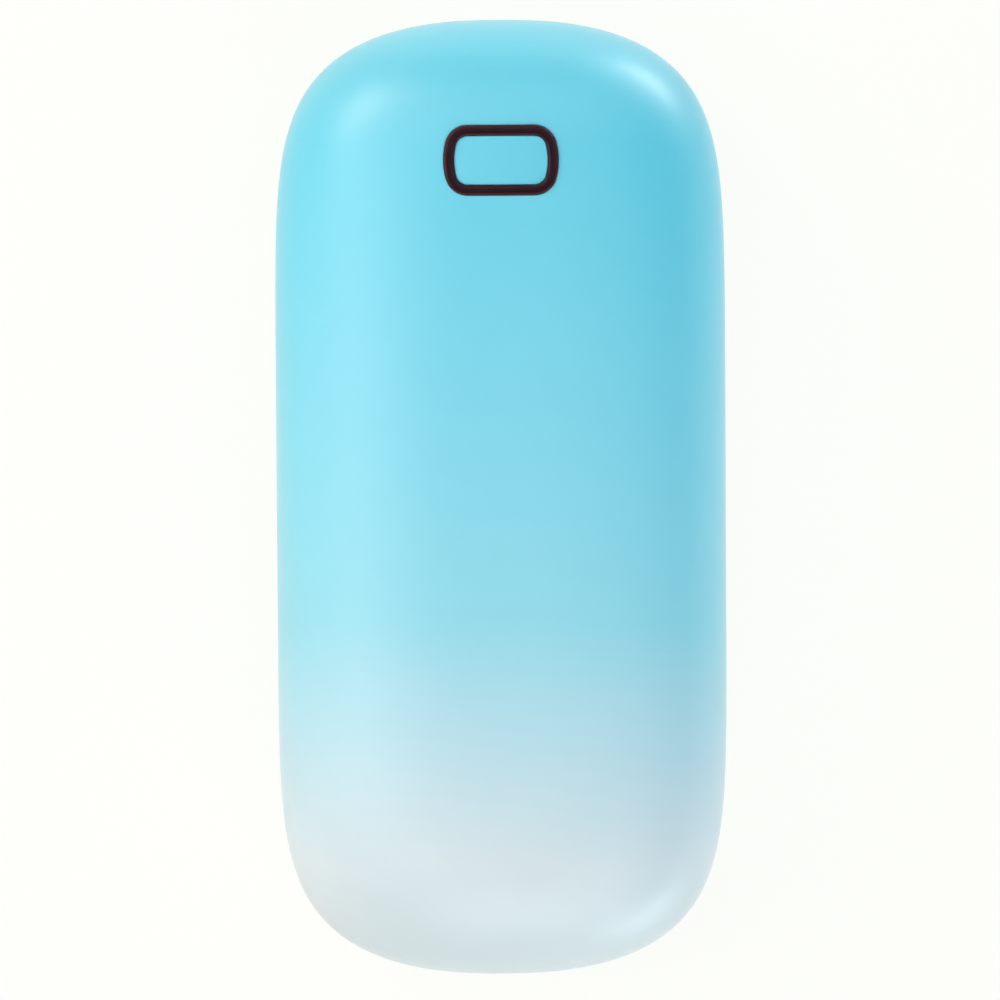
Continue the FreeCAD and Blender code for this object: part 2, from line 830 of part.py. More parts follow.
def heater_leads(level, board_face):
    start_y = plate_high_y - film_margin - film_tail + lead_clearance
    turn_y = board_low_y + board_edge_margin
    pair = []
    for side in (-1, 1):
        x = side * heater_lead_offset
        turn = vector(x, turn_y, level)
        end = vector(x, turn_y, board_face)
        pair.append(lead(vector(x, start_y, level), turn, end, heater_lead_diameter, heater_lead_bend))
    return Part.makeCompound(pair)


def temperature_sensor():
    low_y = cell_high_y - sensor_from_cell_top
    return lengthwise(valley_radius, 0, middle_z + valley_height, low_y, low_y + sensor_length)


def sensor_leads():
    level = middle_z + valley_height
    start_y = cell_high_y - sensor_from_cell_top + sensor_length
    turn_y = ring_y - switch_width / 2 - board_edge_margin
    pair = []
    for side in (-1, 1):
        x = side * sensor_lead_offset
        turn = vector(x, turn_y, level)
        end = vector(x, turn_y, board_top_z)
        pair.append(lead(vector(x, start_y, level), turn, end, sensor_lead_diameter, sensor_lead_bend))
    return Part.makeCompound(pair)


# Every node by name

heater_lead_level = case_thickness - foam_inset - heater_lead_diameter / 2 - lead_touch_gap
nodes = {
    "front_shell": front_shell(),
    "rear_shell": rear_shell(),
    "light_ring": light_ring(),
    "button_cap": button_cap(),
    "switch_base": switch_base(),
    "switch_cover": switch_cover(),
    "switch_dome": switch_dome(),
    "switch_plunger": switch_plunger(),
    "circuit_board": circuit_board(),
    "board_screws": board_screws(),
    "usb_socket_shell": usb_socket_shell(),
    "usb_socket_tongue": usb_socket_tongue(),
    "usb_contacts": usb_contacts(),
    "indicator_leds": indicator_leds(),
    "main_chip": main_chip(),
    "power_inductor": power_inductor(),
    "heater_transistors": heater_transistors(),
    "board_capacitors": board_capacitors(),
    "battery_cell_left": battery_cell(-1),
    "battery_cell_right": battery_cell(1),
    "cell_washers": cell_washers(),
    "positive_strip": positive_strip(),
    "negative_strip": negative_strip(),
    "tail_bracket": tail_bracket(),
    "head_bracket": head_bracket(),
    "front_heat_plate": front_heat_plate(),
    "rear_heat_plate": mirrored_upright(front_heat_plate()),
    "front_heater_film": front_heater_film(),
    "rear_heater_film": mirrored_upright(front_heater_film()),
    "front_foam_pad": front_foam_pad(),
    "rear_foam_pad": mirrored_upright(front_foam_pad()),
    "positive_lead": positive_lead(),
    "negative_lead": negative_lead(),
    "front_heater_leads": heater_leads(heater_lead_level, board_top_z),
    "rear_heater_leads": heater_leads(case_thickness - heater_lead_level, board_low_z),
    "temperature_sensor": temperature_sensor(),
    "sensor_leads": sensor_leads(),
}

os.makedirs("parts", exist_ok=True)
for name, shape in nodes.items():
    shape.exportStep("parts/" + name + ".step")
    print(name, "solids", len(shape.Solids), "valid", shape.isValid(), "volume", round(shape.Volume, 2))
print("case", round(case_width, 2), "x", round(case_length, 2), "x", round(case_thickness, 2))
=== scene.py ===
import bpy
import numpy as np
from mathutils import Matrix, Vector


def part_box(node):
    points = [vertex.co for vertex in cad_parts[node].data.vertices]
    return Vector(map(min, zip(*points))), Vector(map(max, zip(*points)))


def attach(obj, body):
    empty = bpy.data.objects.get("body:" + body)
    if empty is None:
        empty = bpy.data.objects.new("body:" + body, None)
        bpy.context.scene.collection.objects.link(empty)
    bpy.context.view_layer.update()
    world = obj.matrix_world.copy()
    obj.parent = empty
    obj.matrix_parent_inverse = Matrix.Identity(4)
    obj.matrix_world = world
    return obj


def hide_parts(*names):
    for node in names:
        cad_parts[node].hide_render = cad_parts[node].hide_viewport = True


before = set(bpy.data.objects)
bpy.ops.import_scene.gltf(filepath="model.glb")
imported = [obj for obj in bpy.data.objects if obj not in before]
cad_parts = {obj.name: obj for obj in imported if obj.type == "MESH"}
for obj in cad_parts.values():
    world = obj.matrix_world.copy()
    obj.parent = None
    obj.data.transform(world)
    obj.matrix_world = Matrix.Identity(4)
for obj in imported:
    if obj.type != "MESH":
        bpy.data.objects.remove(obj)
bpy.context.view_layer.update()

# A pocket hand warmer lying on its back: X across it, Y along it towards the charging port, Z up.
# The frame is in metres, the dictionaries below are in millimetres.

mm = 0.001
sharpAngle = 38  # degrees between two faces above which their edge is drawn sharp
bpy.context.scene.view_settings.view_transform = "Standard"


def boxMm(nodeName):  # lowest and highest corner of a node, in millimetres
    low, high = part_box(nodeName)
    return np.array(low) / mm, np.array(high) / mm


# Meshes

# Quads between neighbouring rows and columns of a grid, whose columns always close on themselves
def gridFaces(rowCount, columnCount, closedRows):
    row = np.arange(rowCount if closedRows else rowCount - 1)[:, None]
    column = np.arange(columnCount)[None, :]
    above = (row + 1) % rowCount * columnCount
    after = (column + 1) % columnCount
    corners = (row * columnCount + column, row * columnCount + after, above + after, above + column)
    return np.stack(corners, -1).reshape(-1, 4)


# Triangles from each step of a loop of the grid to a pole point in its middle
def fanFaces(loopStart, columnCount, pole, poleFirst):
    column = np.arange(columnCount)
    after = loopStart + (column + 1) % columnCount
    loop = (loopStart + column, after) if not poleFirst else (after, loopStart + column)
    return np.stack((loop[0], loop[1], np.full(columnCount, pole)), -1)


# A closed skin: rows of points, each a loop. Either the last row meets the first, or both ends close
# on a pole in the middle of their loop
def skin(rows, closedRows=False):
    rowCount, columnCount = rows.shape[:2]
    points = rows.reshape(-1, 3)
    faces = gridFaces(rowCount, columnCount, closedRows)
    if closedRows:
        return points, [faces]
    poles = rows[[0, -1]].mean(axis=1)
    first = fanFaces(0, columnCount, len(points), True)
    last = fanFaces((rowCount - 1) * columnCount, columnCount, len(points) + 1, False)
    return np.concatenate([points, poles]), [faces, first, last]


# Six times the volume inside the faces, negative where they face inwards
def signedVolume(points, faces):
    total = 0.0
    for group in faces:
        first, second, third = (points[group[:, corner]] for corner in (0, 1, 2))
        total += np.einsum("ij,ij->i", first, np.cross(second, third)).sum()
        if group.shape[1] == 4:
            fourth = points[group[:, 3]]
            total += np.einsum("ij,ij->i", first, np.cross(third, fourth)).sum()
    return total


# Makes an object of a mesh, a lamp or a camera and puts it into the scene
def placeObject(name, data):
    made = bpy.data.objects.new(name, data)
    bpy.context.scene.collection.objects.link(made)
    return made


# Puts one or more skins into a mesh, turned outwards, and makes it a piece on a body. An attribute, where
# there is one, is its name and a value for each point
def addPiece(name, skins, body, material, attribute=None):
    allPoints, allFaces, start = [], [], 0
    for points, faces in skins:
        turn = -1 if signedVolume(points - points.mean(axis=0), faces) < 0 else 1
        allFaces += [face[:, ::turn] + start for face in faces]
        allPoints.append(points)
        start += len(points)
    corners = np.concatenate([face.ravel() for face in allFaces])
    sizes = np.concatenate([np.full(len(face), face.shape[1]) for face in allFaces])
    mesh = bpy.data.meshes.new(name)
    mesh.vertices.add(start)
    mesh.vertices.foreach_set("co", (np.concatenate(allPoints) * mm).astype(np.float32).ravel())
    mesh.loops.add(len(corners))
    mesh.loops.foreach_set("vertex_index", corners.astype(np.int32))
    mesh.polygons.add(len(sizes))
    mesh.polygons.foreach_set("loop_start", (np.cumsum(sizes) - sizes).astype(np.int32))
    mesh.polygons.foreach_set("use_smooth", np.ones(len(sizes), bool))
    if attribute is not None:
        layer = mesh.attributes.new(attribute[0], "FLOAT", "POINT")
        layer.data.foreach_set("value", attribute[1].astype(np.float32).ravel())
    mesh.update(calc_edges=True)
    mesh.validate()
    mesh.set_sharp_from_angle(angle=np.radians(sharpAngle))
    mesh.materials.append(material)
    piece = placeObject(name, mesh)
    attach(piece, body)
    print("piece:", name, len(mesh.polygons), "faces on", body)
    return piece


# Materials

# sRGB hex to linear light: each channel / 12.92 where dark, else ((channel + 0.055) / 1.055) ^ 2.4
def linear(hexColour):
    channel = np.array([int(hexColour[start:start + 2], 16) for start in (1, 3, 5)]) / 255
    light = np.where(channel <= 0.04045, channel / 12.92, ((channel + 0.055) / 1.055) ** 2.4)
    return (*light.tolist(), 1.0)


# Scale of a pattern whose marks are a size in millimetres apart: one over that size
def scaleFor(size):
    return 1 / (size * mm)


# Sets a node's inputs: a socket is linked, a hex colour is made linear, anything else is the value
def plug(tree, shaderNode, inputs):
    for key, value in inputs.items():
        if isinstance(value, bpy.types.NodeSocket):
            tree.links.new(value, shaderNode.inputs[key])
        elif isinstance(value, str):
            shaderNode.inputs[key].default_value = linear(value)
        else:
            shaderNode.inputs[key].default_value = value


# Adds a node with its inputs, its settings by name, and for a ramp its stops of place and hex colour.
# Gives back one of its outputs: the one that is named, or else the first
def addNode(tree, kind, inputs=None, output=0, stops=(), **settings):
    made = tree.nodes.new("ShaderNode" + kind)
    for name, value in settings.items():
        setattr(made, name, value)
    plug(tree, made, inputs or {})
    while stops and len(made.color_ramp.elements) < len(stops):
        made.color_ramp.elements.new(0.5)  # moved to its own place below
    for element, (place, hexColour) in zip(made.color_ramp.elements if stops else (), stops):
        element.position = place
        element.color = linear(hexColour)
    return made.outputs[output]


# A new material: its tree, its shader with the uniform values set, and Object coordinates
def startMaterial(name, uniform):
    material = bpy.data.materials.new(name)
    material.use_nodes = True
    tree = material.node_tree
    shader = tree.nodes["Principled BSDF"]
    plug(tree, shader, uniform)
    coords = addNode(tree, "TexCoord", output="Object")
    return material, tree, shader, coords


# Share of the way along a node in Y: nought at its near end and one at its far end
def shareAlong(tree, coords, nodeName):
    low, high = boxMm(nodeName)
    along = addNode(tree, "SeparateXYZ", {"Vector": coords}, output="Y")
    return addNode(tree, "MapRange", {"Value": along, "From Min": low[1] * mm, "From Max": high[1] * mm})


# A colour whose tone follows a pattern, from a low share of its brightness to a high one
def varyTone(tree, colour, pattern, low, high):
    value = addNode(tree, "MapRange", {"Value": pattern, "To Min": low, "To Max": high})
    return addNode(tree, "HueSaturation", {"Color": colour, "Value": value})


# Gives a shader its colour, and a roughness that follows a pattern between two values. A relief, given by
# its strength and its height in millimetres, raises the same pattern
def finishSurface(tree, shader, colour, pattern, roughness, relief=None):
    low, high = roughness
    gloss = addNode(tree, "MapRange", {"Value": pattern, "To Min": low, "To Max": high})
    plug(tree, shader, {"Base Color": colour, "Roughness": gloss})
    if relief is not None:
        strength, height = relief
        bump = addNode(tree, "Bump", {"Height": pattern, "Strength": strength, "Distance": height * mm})
        plug(tree, shader, {"Normal": bump})


# Moulded ABS under a matt spray that fades along the case: the eye sees a satin haze, soft-edged
# highlights, a slightly wandering fade and a very fine spray grain
sprayFinish = {
    "fade": (  # millimetres along Y and the paint there
        (-51, "#cbd8d8"), (-38, "#d1e1e6"), (-26, "#b4dce8"), (-13, "#8ad7e8"),
        (4, "#79d4e9"), (24, "#65d0e7"), (38, "#58cde5"), (51, "#68cee5"),
    ),
    "drift": 2.4,  # how far the fade wanders
    "driftSize": 26.0,
    "mottle": 0.015,  # share by which the tone varies
    "mottleSize": 5.0,
    "grainSize": 0.5,  # the real grain is about 0.05, drawn coarser so that it shows
    "relief": (0.05, 0.05),  # strength and height of the grain
    "roughness": (0.44, 0.56),
}


def sprayedAbs():
    material, tree, shader, coords = startMaterial("sprayed_abs_sky_to_frost", {
        "IOR": 1.5, "Specular IOR Level": 0.5, "Coat Weight": 1.0, "Coat Roughness": 0.40, "Coat IOR": 1.5,
    })
    places = [place for place, _ in sprayFinish["fade"]]
    span = places[-1] - places[0]
    drift = addNode(tree, "TexNoise", {
        "Vector": coords, "Scale": scaleFor(sprayFinish["driftSize"]), "Detail": 1.0,
    })
    along = addNode(tree, "SeparateXYZ", {"Vector": coords}, output="Y")
    centred = addNode(tree, "Math", {0: drift, 1: 0.5}, operation="SUBTRACT")
    wandering = addNode(tree, "Math", {
        0: centred, 1: 2 * sprayFinish["drift"] * mm, 2: along,
    }, operation="MULTIPLY_ADD")
    share = addNode(tree, "MapRange", {
        "Value": wandering, "From Min": places[0] * mm, "From Max": places[-1] * mm,
    })
    paint = addNode(tree, "ValToRGB", {"Fac": share}, stops=[
        ((place - places[0]) / span, hexColour) for place, hexColour in sprayFinish["fade"]
    ])
    mottle = addNode(tree, "TexNoise", {
        "Vector": coords, "Scale": scaleFor(sprayFinish["mottleSize"]), "Detail": 3.0,
    })
    colour = varyTone(tree, paint, mottle, 1 - sprayFinish["mottle"], 1 + sprayFinish["mottle"])
    grain = addNode(tree, "TexNoise", {
        "Vector": coords, "Scale": scaleFor(sprayFinish["grainSize"]), "Detail": 2.0,
    })
    finishSurface(tree, shader, colour, grain, sprayFinish["roughness"], sprayFinish["relief"])
    return material


# Smoked polycarbonate, moulded to a gloss: nearly black, with light shining through where the band thins at
# its edges painted into its colour as a red glow
smokedFinish = {
    "acrossBand": (  # share of the way from the outer edge to the inner one and the tone there, with painted light in red at both edges
        (0.0, "#612020"), (0.14, "#3c171a"), (0.3, "#26121a"), (0.74, "#24111a"), (1.0, "#4c1c1d"),
    ),
    "cloud": 0.3,  # share by which the tone varies
    "cloudSize": 2.5,
    "roughness": (0.14, 0.24),
}


def smokedPolycarbonate():
    material, tree, shader, coords = startMaterial("smoked_polycarbonate_moulded", {
        "IOR": 1.58, "Specular IOR Level": 0.1,
    })
    band = addNode(tree, "Attribute", output="Fac", attribute_name="acrossBand")
    # painted light: a red glow ramped onto both edges of the band, where light would shine through
    glow = addNode(tree, "ValToRGB", {"Fac": band}, stops=smokedFinish["acrossBand"])
    cloud = addNode(tree, "TexNoise", {
        "Vector": coords, "Scale": scaleFor(smokedFinish["cloudSize"]), "Detail": 2.0,
    })
    colour = varyTone(tree, glow, cloud, 1 - smokedFinish["cloud"], 1 + smokedFinish["cloud"])
    finishSurface(tree, shader, colour, cloud, smokedFinish["roughness"])
    return material


# A moulded plastic or rubber: one colour that varies a little, with a fine moulded grain
grainFinish = {
    "tone": 0.12,  # share by which the tone varies, and how far the roughness does
    "gloss": 0.06,
    "relief": (0.15, 0.05),  # strength and height of the grain
}


def mouldedPlastic(name, hexColour, roughness, ior, grainSize):
    material, tree, shader, coords = startMaterial(name, {"IOR": ior})
    grain = addNode(tree, "TexNoise", {"Vector": coords, "Scale": scaleFor(grainSize), "Detail": 3.0})
    tone, gloss = grainFinish["tone"], grainFinish["gloss"]
    colour = varyTone(tree, hexColour, grain, 1 - tone, 1 + tone)
    satin = (roughness - gloss, roughness + gloss)
    finishSurface(tree, shader, colour, grain, satin, grainFinish["relief"])
    return material


# A drawn, rolled or brushed metal: fine lines along one axis that vary its colour and its gloss.
# Dark and pale are shares of the colour, smoother and rougher are steps from its roughness
brushFinish = {"dark": 0.86, "pale": 1.1, "smoother": 0.08, "rougher": 0.10}


def drawnMetal(name, hexColour, roughness, lineSize, stretch):
    material, tree, shader, coords = startMaterial(name, {"Metallic": 1.0})
    lines = addNode(tree, "Mapping", {"Vector": coords, "Scale": stretch})
    brush = addNode(tree, "TexNoise", {"Vector": lines, "Scale": scaleFor(lineSize), "Detail": 4.0})
    colour = varyTone(tree, hexColour, brush, brushFinish["dark"], brushFinish["pale"])
    gloss = (roughness - brushFinish["smoother"], roughness + brushFinish["rougher"])
    finishSurface(tree, shader, colour, brush, gloss)
    return material


# Glass-epoxy laminate under green solder mask: copper pads show through it as a paler green
laminateFinish = {
    "padSize": 1.6,
    "padScatter": 0.55,
    "padTones": ((0.0, "#2f7d4a"), (0.42, "#2a7344"), (0.46, "#14512e"), (1.0, "#124a2a")),
    "weaveSize": 2.0,  # the real glass weave is about 0.5, drawn coarser so that it shows
    "weaveBend": 1.5,
    "roughness": (0.24, 0.36),
}


def boardLaminate():
    material, tree, shader, coords = startMaterial("glass_epoxy_solder_mask", {
        "IOR": 1.55, "Coat Weight": 0.3,
    })
    squares = addNode(tree, "TexVoronoi", {
        "Vector": coords,
        "Scale": scaleFor(laminateFinish["padSize"]), "Randomness": laminateFinish["padScatter"],
    }, distance="CHEBYCHEV", feature="F1")
    copper = addNode(tree, "ValToRGB", {"Fac": squares}, stops=laminateFinish["padTones"])
    weave = addNode(tree, "TexWave", {
        "Vector": coords,
        "Scale": scaleFor(laminateFinish["weaveSize"]), "Distortion": laminateFinish["weaveBend"],
    }, output="Fac")
    finishSurface(tree, shader, copper, weave, laminateFinish["roughness"])
    return material


# Polyimide film with an etched heating line folded to and fro: amber, with the metal line darker
filmFinish = {
    "lineSize": 3.0,
    "lineBend": 0.6,
    "lineTones": ((0.0, "#c07a22"), (0.58, "#bb741d"), (0.64, "#7c5a34"), (1.0, "#77552f")),
    "roughness": (0.22, 0.38),
}


def etchedPolyimide():
    material, tree, shader, coords = startMaterial("polyimide_film_etched", {
        "IOR": 1.7, "Coat Weight": 0.4,
    })
    line = addNode(tree, "TexWave", {
        "Vector": coords,
        "Scale": scaleFor(filmFinish["lineSize"]) / (2 * np.pi), "Distortion": filmFinish["lineBend"],
    }, output="Fac", bands_direction="Y")
    colour = addNode(tree, "ValToRGB", {"Fac": line}, stops=filmFinish["lineTones"])
    finishSurface(tree, shader, colour, line, filmFinish["roughness"])
    return material


# Open-cell polyurethane foam: charcoal, quite matt, pitted all over by its cells, with painted shade
# darkening each pit
foamFinish = {
    "cellSize": 0.55,
    "cellShadeTones": ((0.0, "#1c1d20"), (0.5, "#3a3c40"), (1.0, "#52545a")),
    "roughness": (0.8, 0.95),
    "relief": (0.6, 0.2),  # strength and depth of the pits
}


def openCellFoam():
    material, tree, shader, coords = startMaterial("polyurethane_foam_open_cell", {
        "IOR": 1.45, "Sheen Weight": 0.2,
    })
    cells = addNode(tree, "TexVoronoi", {"Vector": coords, "Scale": scaleFor(foamFinish["cellSize"])})
    # painted shade: darkest at the bottom of each pit, palest on the cell walls
    colour = addNode(tree, "ValToRGB", {"Fac": cells}, stops=foamFinish["cellShadeTones"])
    finishSurface(tree, shader, colour, cells, foamFinish["roughness"], foamFinish["relief"])
    return material


# Shrink sleeve over a steel can: glossy film between bare metal ends, wrinkled a little by the heat
sleeveFinish = {
    # share of the way from end to end, with the tone there and whether bare metal shows there
    "tones": ((0.0, "#b9bbbd"), (0.012, "#2f7f76"), (0.97, "#2f7f76"), (0.978, "#b9bbbd")),
    "bare": ((0.0, "#ffffff"), (0.012, "#000000"), (0.97, "#000000"), (0.978, "#ffffff")),
    "wrinkleSize": 3.0,
    "relief": (0.2, 0.1),  # strength and height of the wrinkles
    "roughness": (0.22, 0.4),
}


def sleevedCan(nodeName):
    material, tree, shader, coords = startMaterial("shrink_sleeve_on_steel_can", {})
    share = shareAlong(tree, coords, nodeName)
    ends = addNode(tree, "ValToRGB", {"Fac": share}, stops=sleeveFinish["tones"])
    bare = addNode(tree, "ValToRGB", {"Fac": share}, stops=sleeveFinish["bare"])
    wrinkle = addNode(tree, "TexNoise", {"Vector": coords, "Scale": scaleFor(sleeveFinish["wrinkleSize"])})
    plug(tree, shader, {"Metallic": bare})
    finishSurface(tree, shader, ends, wrinkle, sleeveFinish["roughness"], sleeveFinish["relief"])
    return material


# Stacked ceramic with tinned ends: brown body, pale metal over a quarter of the length at each end
ceramicFinish = {
    # share of the way from end to end and the tone there
    "tones": ((0.0, "#c9cacb"), (0.24, "#c9cacb"), (0.26, "#9b7a55"), (0.74, "#9b7a55"), (0.76, "#c9cacb")),
    "speckSize": 0.2,
    "roughness": (0.3, 0.5),
}


def tinnedCeramic(nodeName):
    material, tree, shader, coords = startMaterial("ceramic_stack_tinned_ends", {"IOR": 1.6})
    share = shareAlong(tree, coords, nodeName)
    colour = addNode(tree, "ValToRGB", {"Fac": share}, stops=ceramicFinish["tones"])
    speck = addNode(tree, "TexNoise", {"Vector": coords, "Scale": scaleFor(ceramicFinish["speckSize"])})
    finishSurface(tree, shader, colour, speck, ceramicFinish["roughness"])
    return material


# Carried-over nodes and their finishes

plainStretch = (1.0, 1.0, 1.0)
lengthStretch = (1.0, 0.06, 1.0)  # lines run along Y
crossStretch = (0.06, 1.0, 1.0)  # lines run along X
blackSwitch = mouldedPlastic("polybutylene_moulded_black", "#17181a", 0.42, 1.55, 0.3)
blackTongue = mouldedPlastic("liquid_crystal_polymer_moulded", "#141517", 0.5, 1.6, 0.2)
whiteBracket = mouldedPlastic("abs_moulded_white", "#dcdad3", 0.45, 1.5, 0.6)
chipEpoxy = mouldedPlastic("epoxy_moulded_chip", "#202124", 0.6, 1.55, 0.15)
sinteredFerrite = mouldedPlastic("ferrite_sintered", "#4a4b4d", 0.65, 1.8, 0.25)
pressedPaper = mouldedPlastic("fibre_paper_pressed", "#c9b68c", 0.85, 1.45, 0.4)
lampEpoxy = mouldedPlastic("epoxy_cast_lamp", "#e9e2b5", 0.25, 1.52, 0.4)
redSilicone = mouldedPlastic("silicone_extruded_red", "#b3201f", 0.5, 1.41, 0.25)
blackSilicone = mouldedPlastic("silicone_extruded_black", "#1b1c1e", 0.5, 1.41, 0.25)
whiteSilicone = mouldedPlastic("silicone_extruded_white", "#d9d8d4", 0.5, 1.41, 0.25)
drawnSteel = drawnMetal("stainless_steel_drawn", "#b4b5b8", 0.3, 0.12, lengthStretch)
turnedSteel = drawnMetal("zinc_plated_steel_turned", "#a9acb0", 0.35, 0.15, plainStretch)
rolledNickel = drawnMetal("nickel_strip_rolled", "#b9b4a8", 0.32, 0.15, crossStretch)
goldFlash = drawnMetal("gold_flash_on_bronze", "#d9a441", 0.28, 0.1, lengthStretch)
rolledAluminium = drawnMetal("aluminium_sheet_rolled", "#c3c6c9", 0.38, 0.3, lengthStretch)
laminate = boardLaminate()
film = etchedPolyimide()
ceramic = tinnedCeramic("board_capacitors")
sleeve = sleevedCan("battery_cell_left")
nodeFinishes = {
    "switch_base": blackSwitch, "switch_plunger": blackSwitch, "temperature_sensor": chipEpoxy,
    "switch_cover": drawnSteel, "switch_dome": drawnSteel, "board_screws": turnedSteel,
    "circuit_board": laminate, "usb_socket_tongue": blackTongue, "usb_contacts": goldFlash,
    "indicator_leds": lampEpoxy, "main_chip": chipEpoxy, "heater_transistors": chipEpoxy,
    "power_inductor": sinteredFerrite, "board_capacitors": ceramic, "cell_washers": pressedPaper,
    "battery_cell_left": sleeve, "battery_cell_right": sleeve,
    "positive_strip": rolledNickel, "negative_strip": rolledNickel,
    "tail_bracket": whiteBracket, "head_bracket": whiteBracket,
    "front_heat_plate": rolledAluminium, "rear_heat_plate": rolledAluminium,
    "front_heater_film": film, "rear_heater_film": film,
    "positive_lead": redSilicone, "negative_lead": blackSilicone,
    "front_heater_leads": whiteSilicone, "rear_heater_leads": whiteSilicone, "sensor_leads": whiteSilicone,
}
for nodeName, finish in nodeFinishes.items():
    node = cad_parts[nodeName]
    if not node.material_slots:
        node.data.materials.append(finish)
    for slot in node.material_slots:
        slot.material = finish
print("finishes:", len(nodeFinishes), "carried-over nodes")

# Form of the case

caseForm = {
    "sidePower": 2.37,  # outline: |x / half width| ^ sidePower + |y / half length| ^ endPower = 1
    "endPower": 7.4,
    # section: spread ^ power + lift ^ power = 1, and how far in the rounding reaches. The first value of a
    # pair is for the outer face, which is crowned across the width, the second for the inner wall
    "sideRollPower": (2.5, 2.2),
    "sideRoll": (21.0, 16.5),
    "endRollPower": (2.2, 2.2),
    "endRoll": (13.0, 13.0),
    "wall": 1.8,
    "columns": 460,
    "densePoints": 3000,  # along each stretch of the loop that the columns are read off
    "denseTurn": 0.95,  # share of the half length up to which that loop steps evenly in y, then in x
    "sideRows": 46,
    "faceRows": 30,
    "faceBunch": 1.6,  # power that bunches the rows of the face towards its rim
    "innerRows": 12,
    "faceSpread": 0.38,  # the spread at which the rows of the side hand over to those of the face
    "innerSpread": 0.45,  # the same on the inner wall of the front shell
    "halvings": 40,  # steps of the search for the rise over a point
}
seamForm = {
    "reveal": 0.15,  # half the width of the groove
    "depth": 0.3,
    "edge": 0.1,
    "edgeSteps": 5,
    "lipInset": 1.0,
    "lipHeight": 1.5,
    "lipGap": 0.06,
}
portForm = {
    "clearance": 0.2,
    "endColumns": 12,
    "straightColumns": 14,
    "beyond": (0.04, 0.15, 0.35),  # extra columns beside the cut-out
    "clear": 0.2,  # least distance from these to the even columns
    "readBeyond": 1.0,  # how far beside the cut-out the length of the outline is read
    # beside the cut-out, where its straight run inwards starts to give way, and over how far
    "holdFrom": 0.5,
    "holdOver": 3.0,
    "holdUp": 2.0,  # the same above and below the seam
    "holdUpOver": 3.0,
}
frontLow, frontHigh = boxMm("front_shell")
halfWidth, halfLength, caseTop = frontHigh[0], -frontLow[1], frontHigh[2]
middle = caseTop / 2
socketLow, socketHigh = boxMm("usb_socket_shell")
portRadius = (socketHigh[2] - socketLow[2]) / 2 + portForm["clearance"]
portStraight = socketHigh[0] + portForm["clearance"] - portRadius


# A value of the section at an inset, from the outer face's to the inner wall's
def sectionAt(name, inset):
    outer, inner = caseForm[name]
    return outer + (inner - outer) * min(inset / caseForm["wall"], 1)


# Half sizes of the outline at a lift, moved in by an inset
def outlineSizes(lift, inset):
    sizes = []
    for name, half in (("sideRoll", halfWidth), ("endRoll", halfLength)):
        roll, power = sectionAt(name, inset), sectionAt(name + "Power", inset)
        sizes.append(half - roll + (roll - inset) * (1 - lift ** power) ** (1 / power))
    return sizes


# Rise of the port's cut-out above the seam at x: flat over the straight stretch, round at its ends, and
# far below every edge of the seam where there is no port
def portRise(x, y):
    beyond = np.maximum(np.abs(x) - portStraight, 0)
    rise = np.sqrt(np.maximum(portRadius ** 2 - beyond ** 2, 0))
    return np.where((y > 0) & (beyond <= portRadius), rise, -middle)


# Columns of the case: a dense loop of the unit outline is measured along its length and read off at
# even steps, except across the port, where the steps follow the round ends of the cut-out
def caseColumns():
    sidePower, endPower = caseForm["sidePower"], caseForm["endPower"]
    up = np.linspace(0, caseForm["denseTurn"], caseForm["densePoints"])
    across = np.linspace((1 - up[-1] ** endPower) ** (1 / sidePower), 0, caseForm["densePoints"])[1:]
    x = np.concatenate([(1 - up ** endPower) ** (1 / sidePower), across])
    y = np.concatenate([up, (1 - across ** sidePower) ** (1 / endPower)])
    x = np.concatenate([x, -x[-2::-1], -x[1:], x[-2::-1]])
    y = np.concatenate([y, y[-2::-1], -y[1:], -y[-2::-1]])
    steps = np.hypot(np.diff(x) * halfWidth, np.diff(y) * halfLength)
    along = np.concatenate([[0], np.cumsum(steps)])
    even = np.linspace(0, along[-1], caseForm["columns"], endpoint=False)
    reach = portStraight + portRadius
    ends = portStraight + portRadius * np.sin(np.linspace(0, np.pi / 2, portForm["endColumns"]))
    ends = np.concatenate([ends, reach + np.array(portForm["beyond"])])
    straight = np.linspace(-portStraight, portStraight, portForm["straightColumns"])[1:-1]
    portX = np.concatenate([-ends[::-1], straight, ends])
    over = (y > 0) & (np.abs(x) * halfWidth < reach + portForm["readBeyond"])
    portAlong = np.interp(-portX, -x[over] * halfWidth, along[over])
    clear = (even < portAlong.min() - portForm["clear"]) | (even > portAlong.max() + portForm["clear"])
    stations = np.sort(np.concatenate([even[clear], portAlong]))
    return np.interp(stations, along, x), np.interp(stations, along, y)


columnX, columnY = caseColumns()
portOver = portRise(columnX * halfWidth, columnY)
holdStart = portStraight + portRadius + portForm["holdFrom"]
besidePort = (np.abs(columnX) * halfWidth - holdStart) / portForm["holdOver"]
portHold = np.clip(1 - besidePort, 0, 1) * (columnY > 0)  # one at the port, fading out beside it


# Points of the case at a rise from the seam plane and an inset: unit columns times the outline's sizes.
# Where the port cuts the wall, x may be held so that the cut runs straight in
def caseRows(rise, inset, side, heldX=None):
    wide, long = outlineSizes(np.minimum(np.abs(rise) / (middle - inset), 1), inset)
    x, y = wide * columnX, long * columnY
    if heldX is not None:
        hold = portHold * np.clip(1 - (np.abs(rise) - portForm["holdUp"]) / portForm["holdUpOver"], 0, 1)
        x = x + (heldX - x) * hold
        share = np.minimum(np.abs(x) / wide, 1) ** caseForm["sidePower"]
        y = np.where(hold > 0, long * (1 - share) ** (1 / caseForm["endPower"]), y)
    return np.stack(np.broadcast_arrays(x, y, middle + side * rise), -1)


# Rise at which the outer face starts, and x there, which the port's cut keeps on its way in
sideStart = np.maximum(seamForm["reveal"], portOver) + seamForm["edge"]
cutX = caseRows(sideStart, 0, 1)[:, 0]


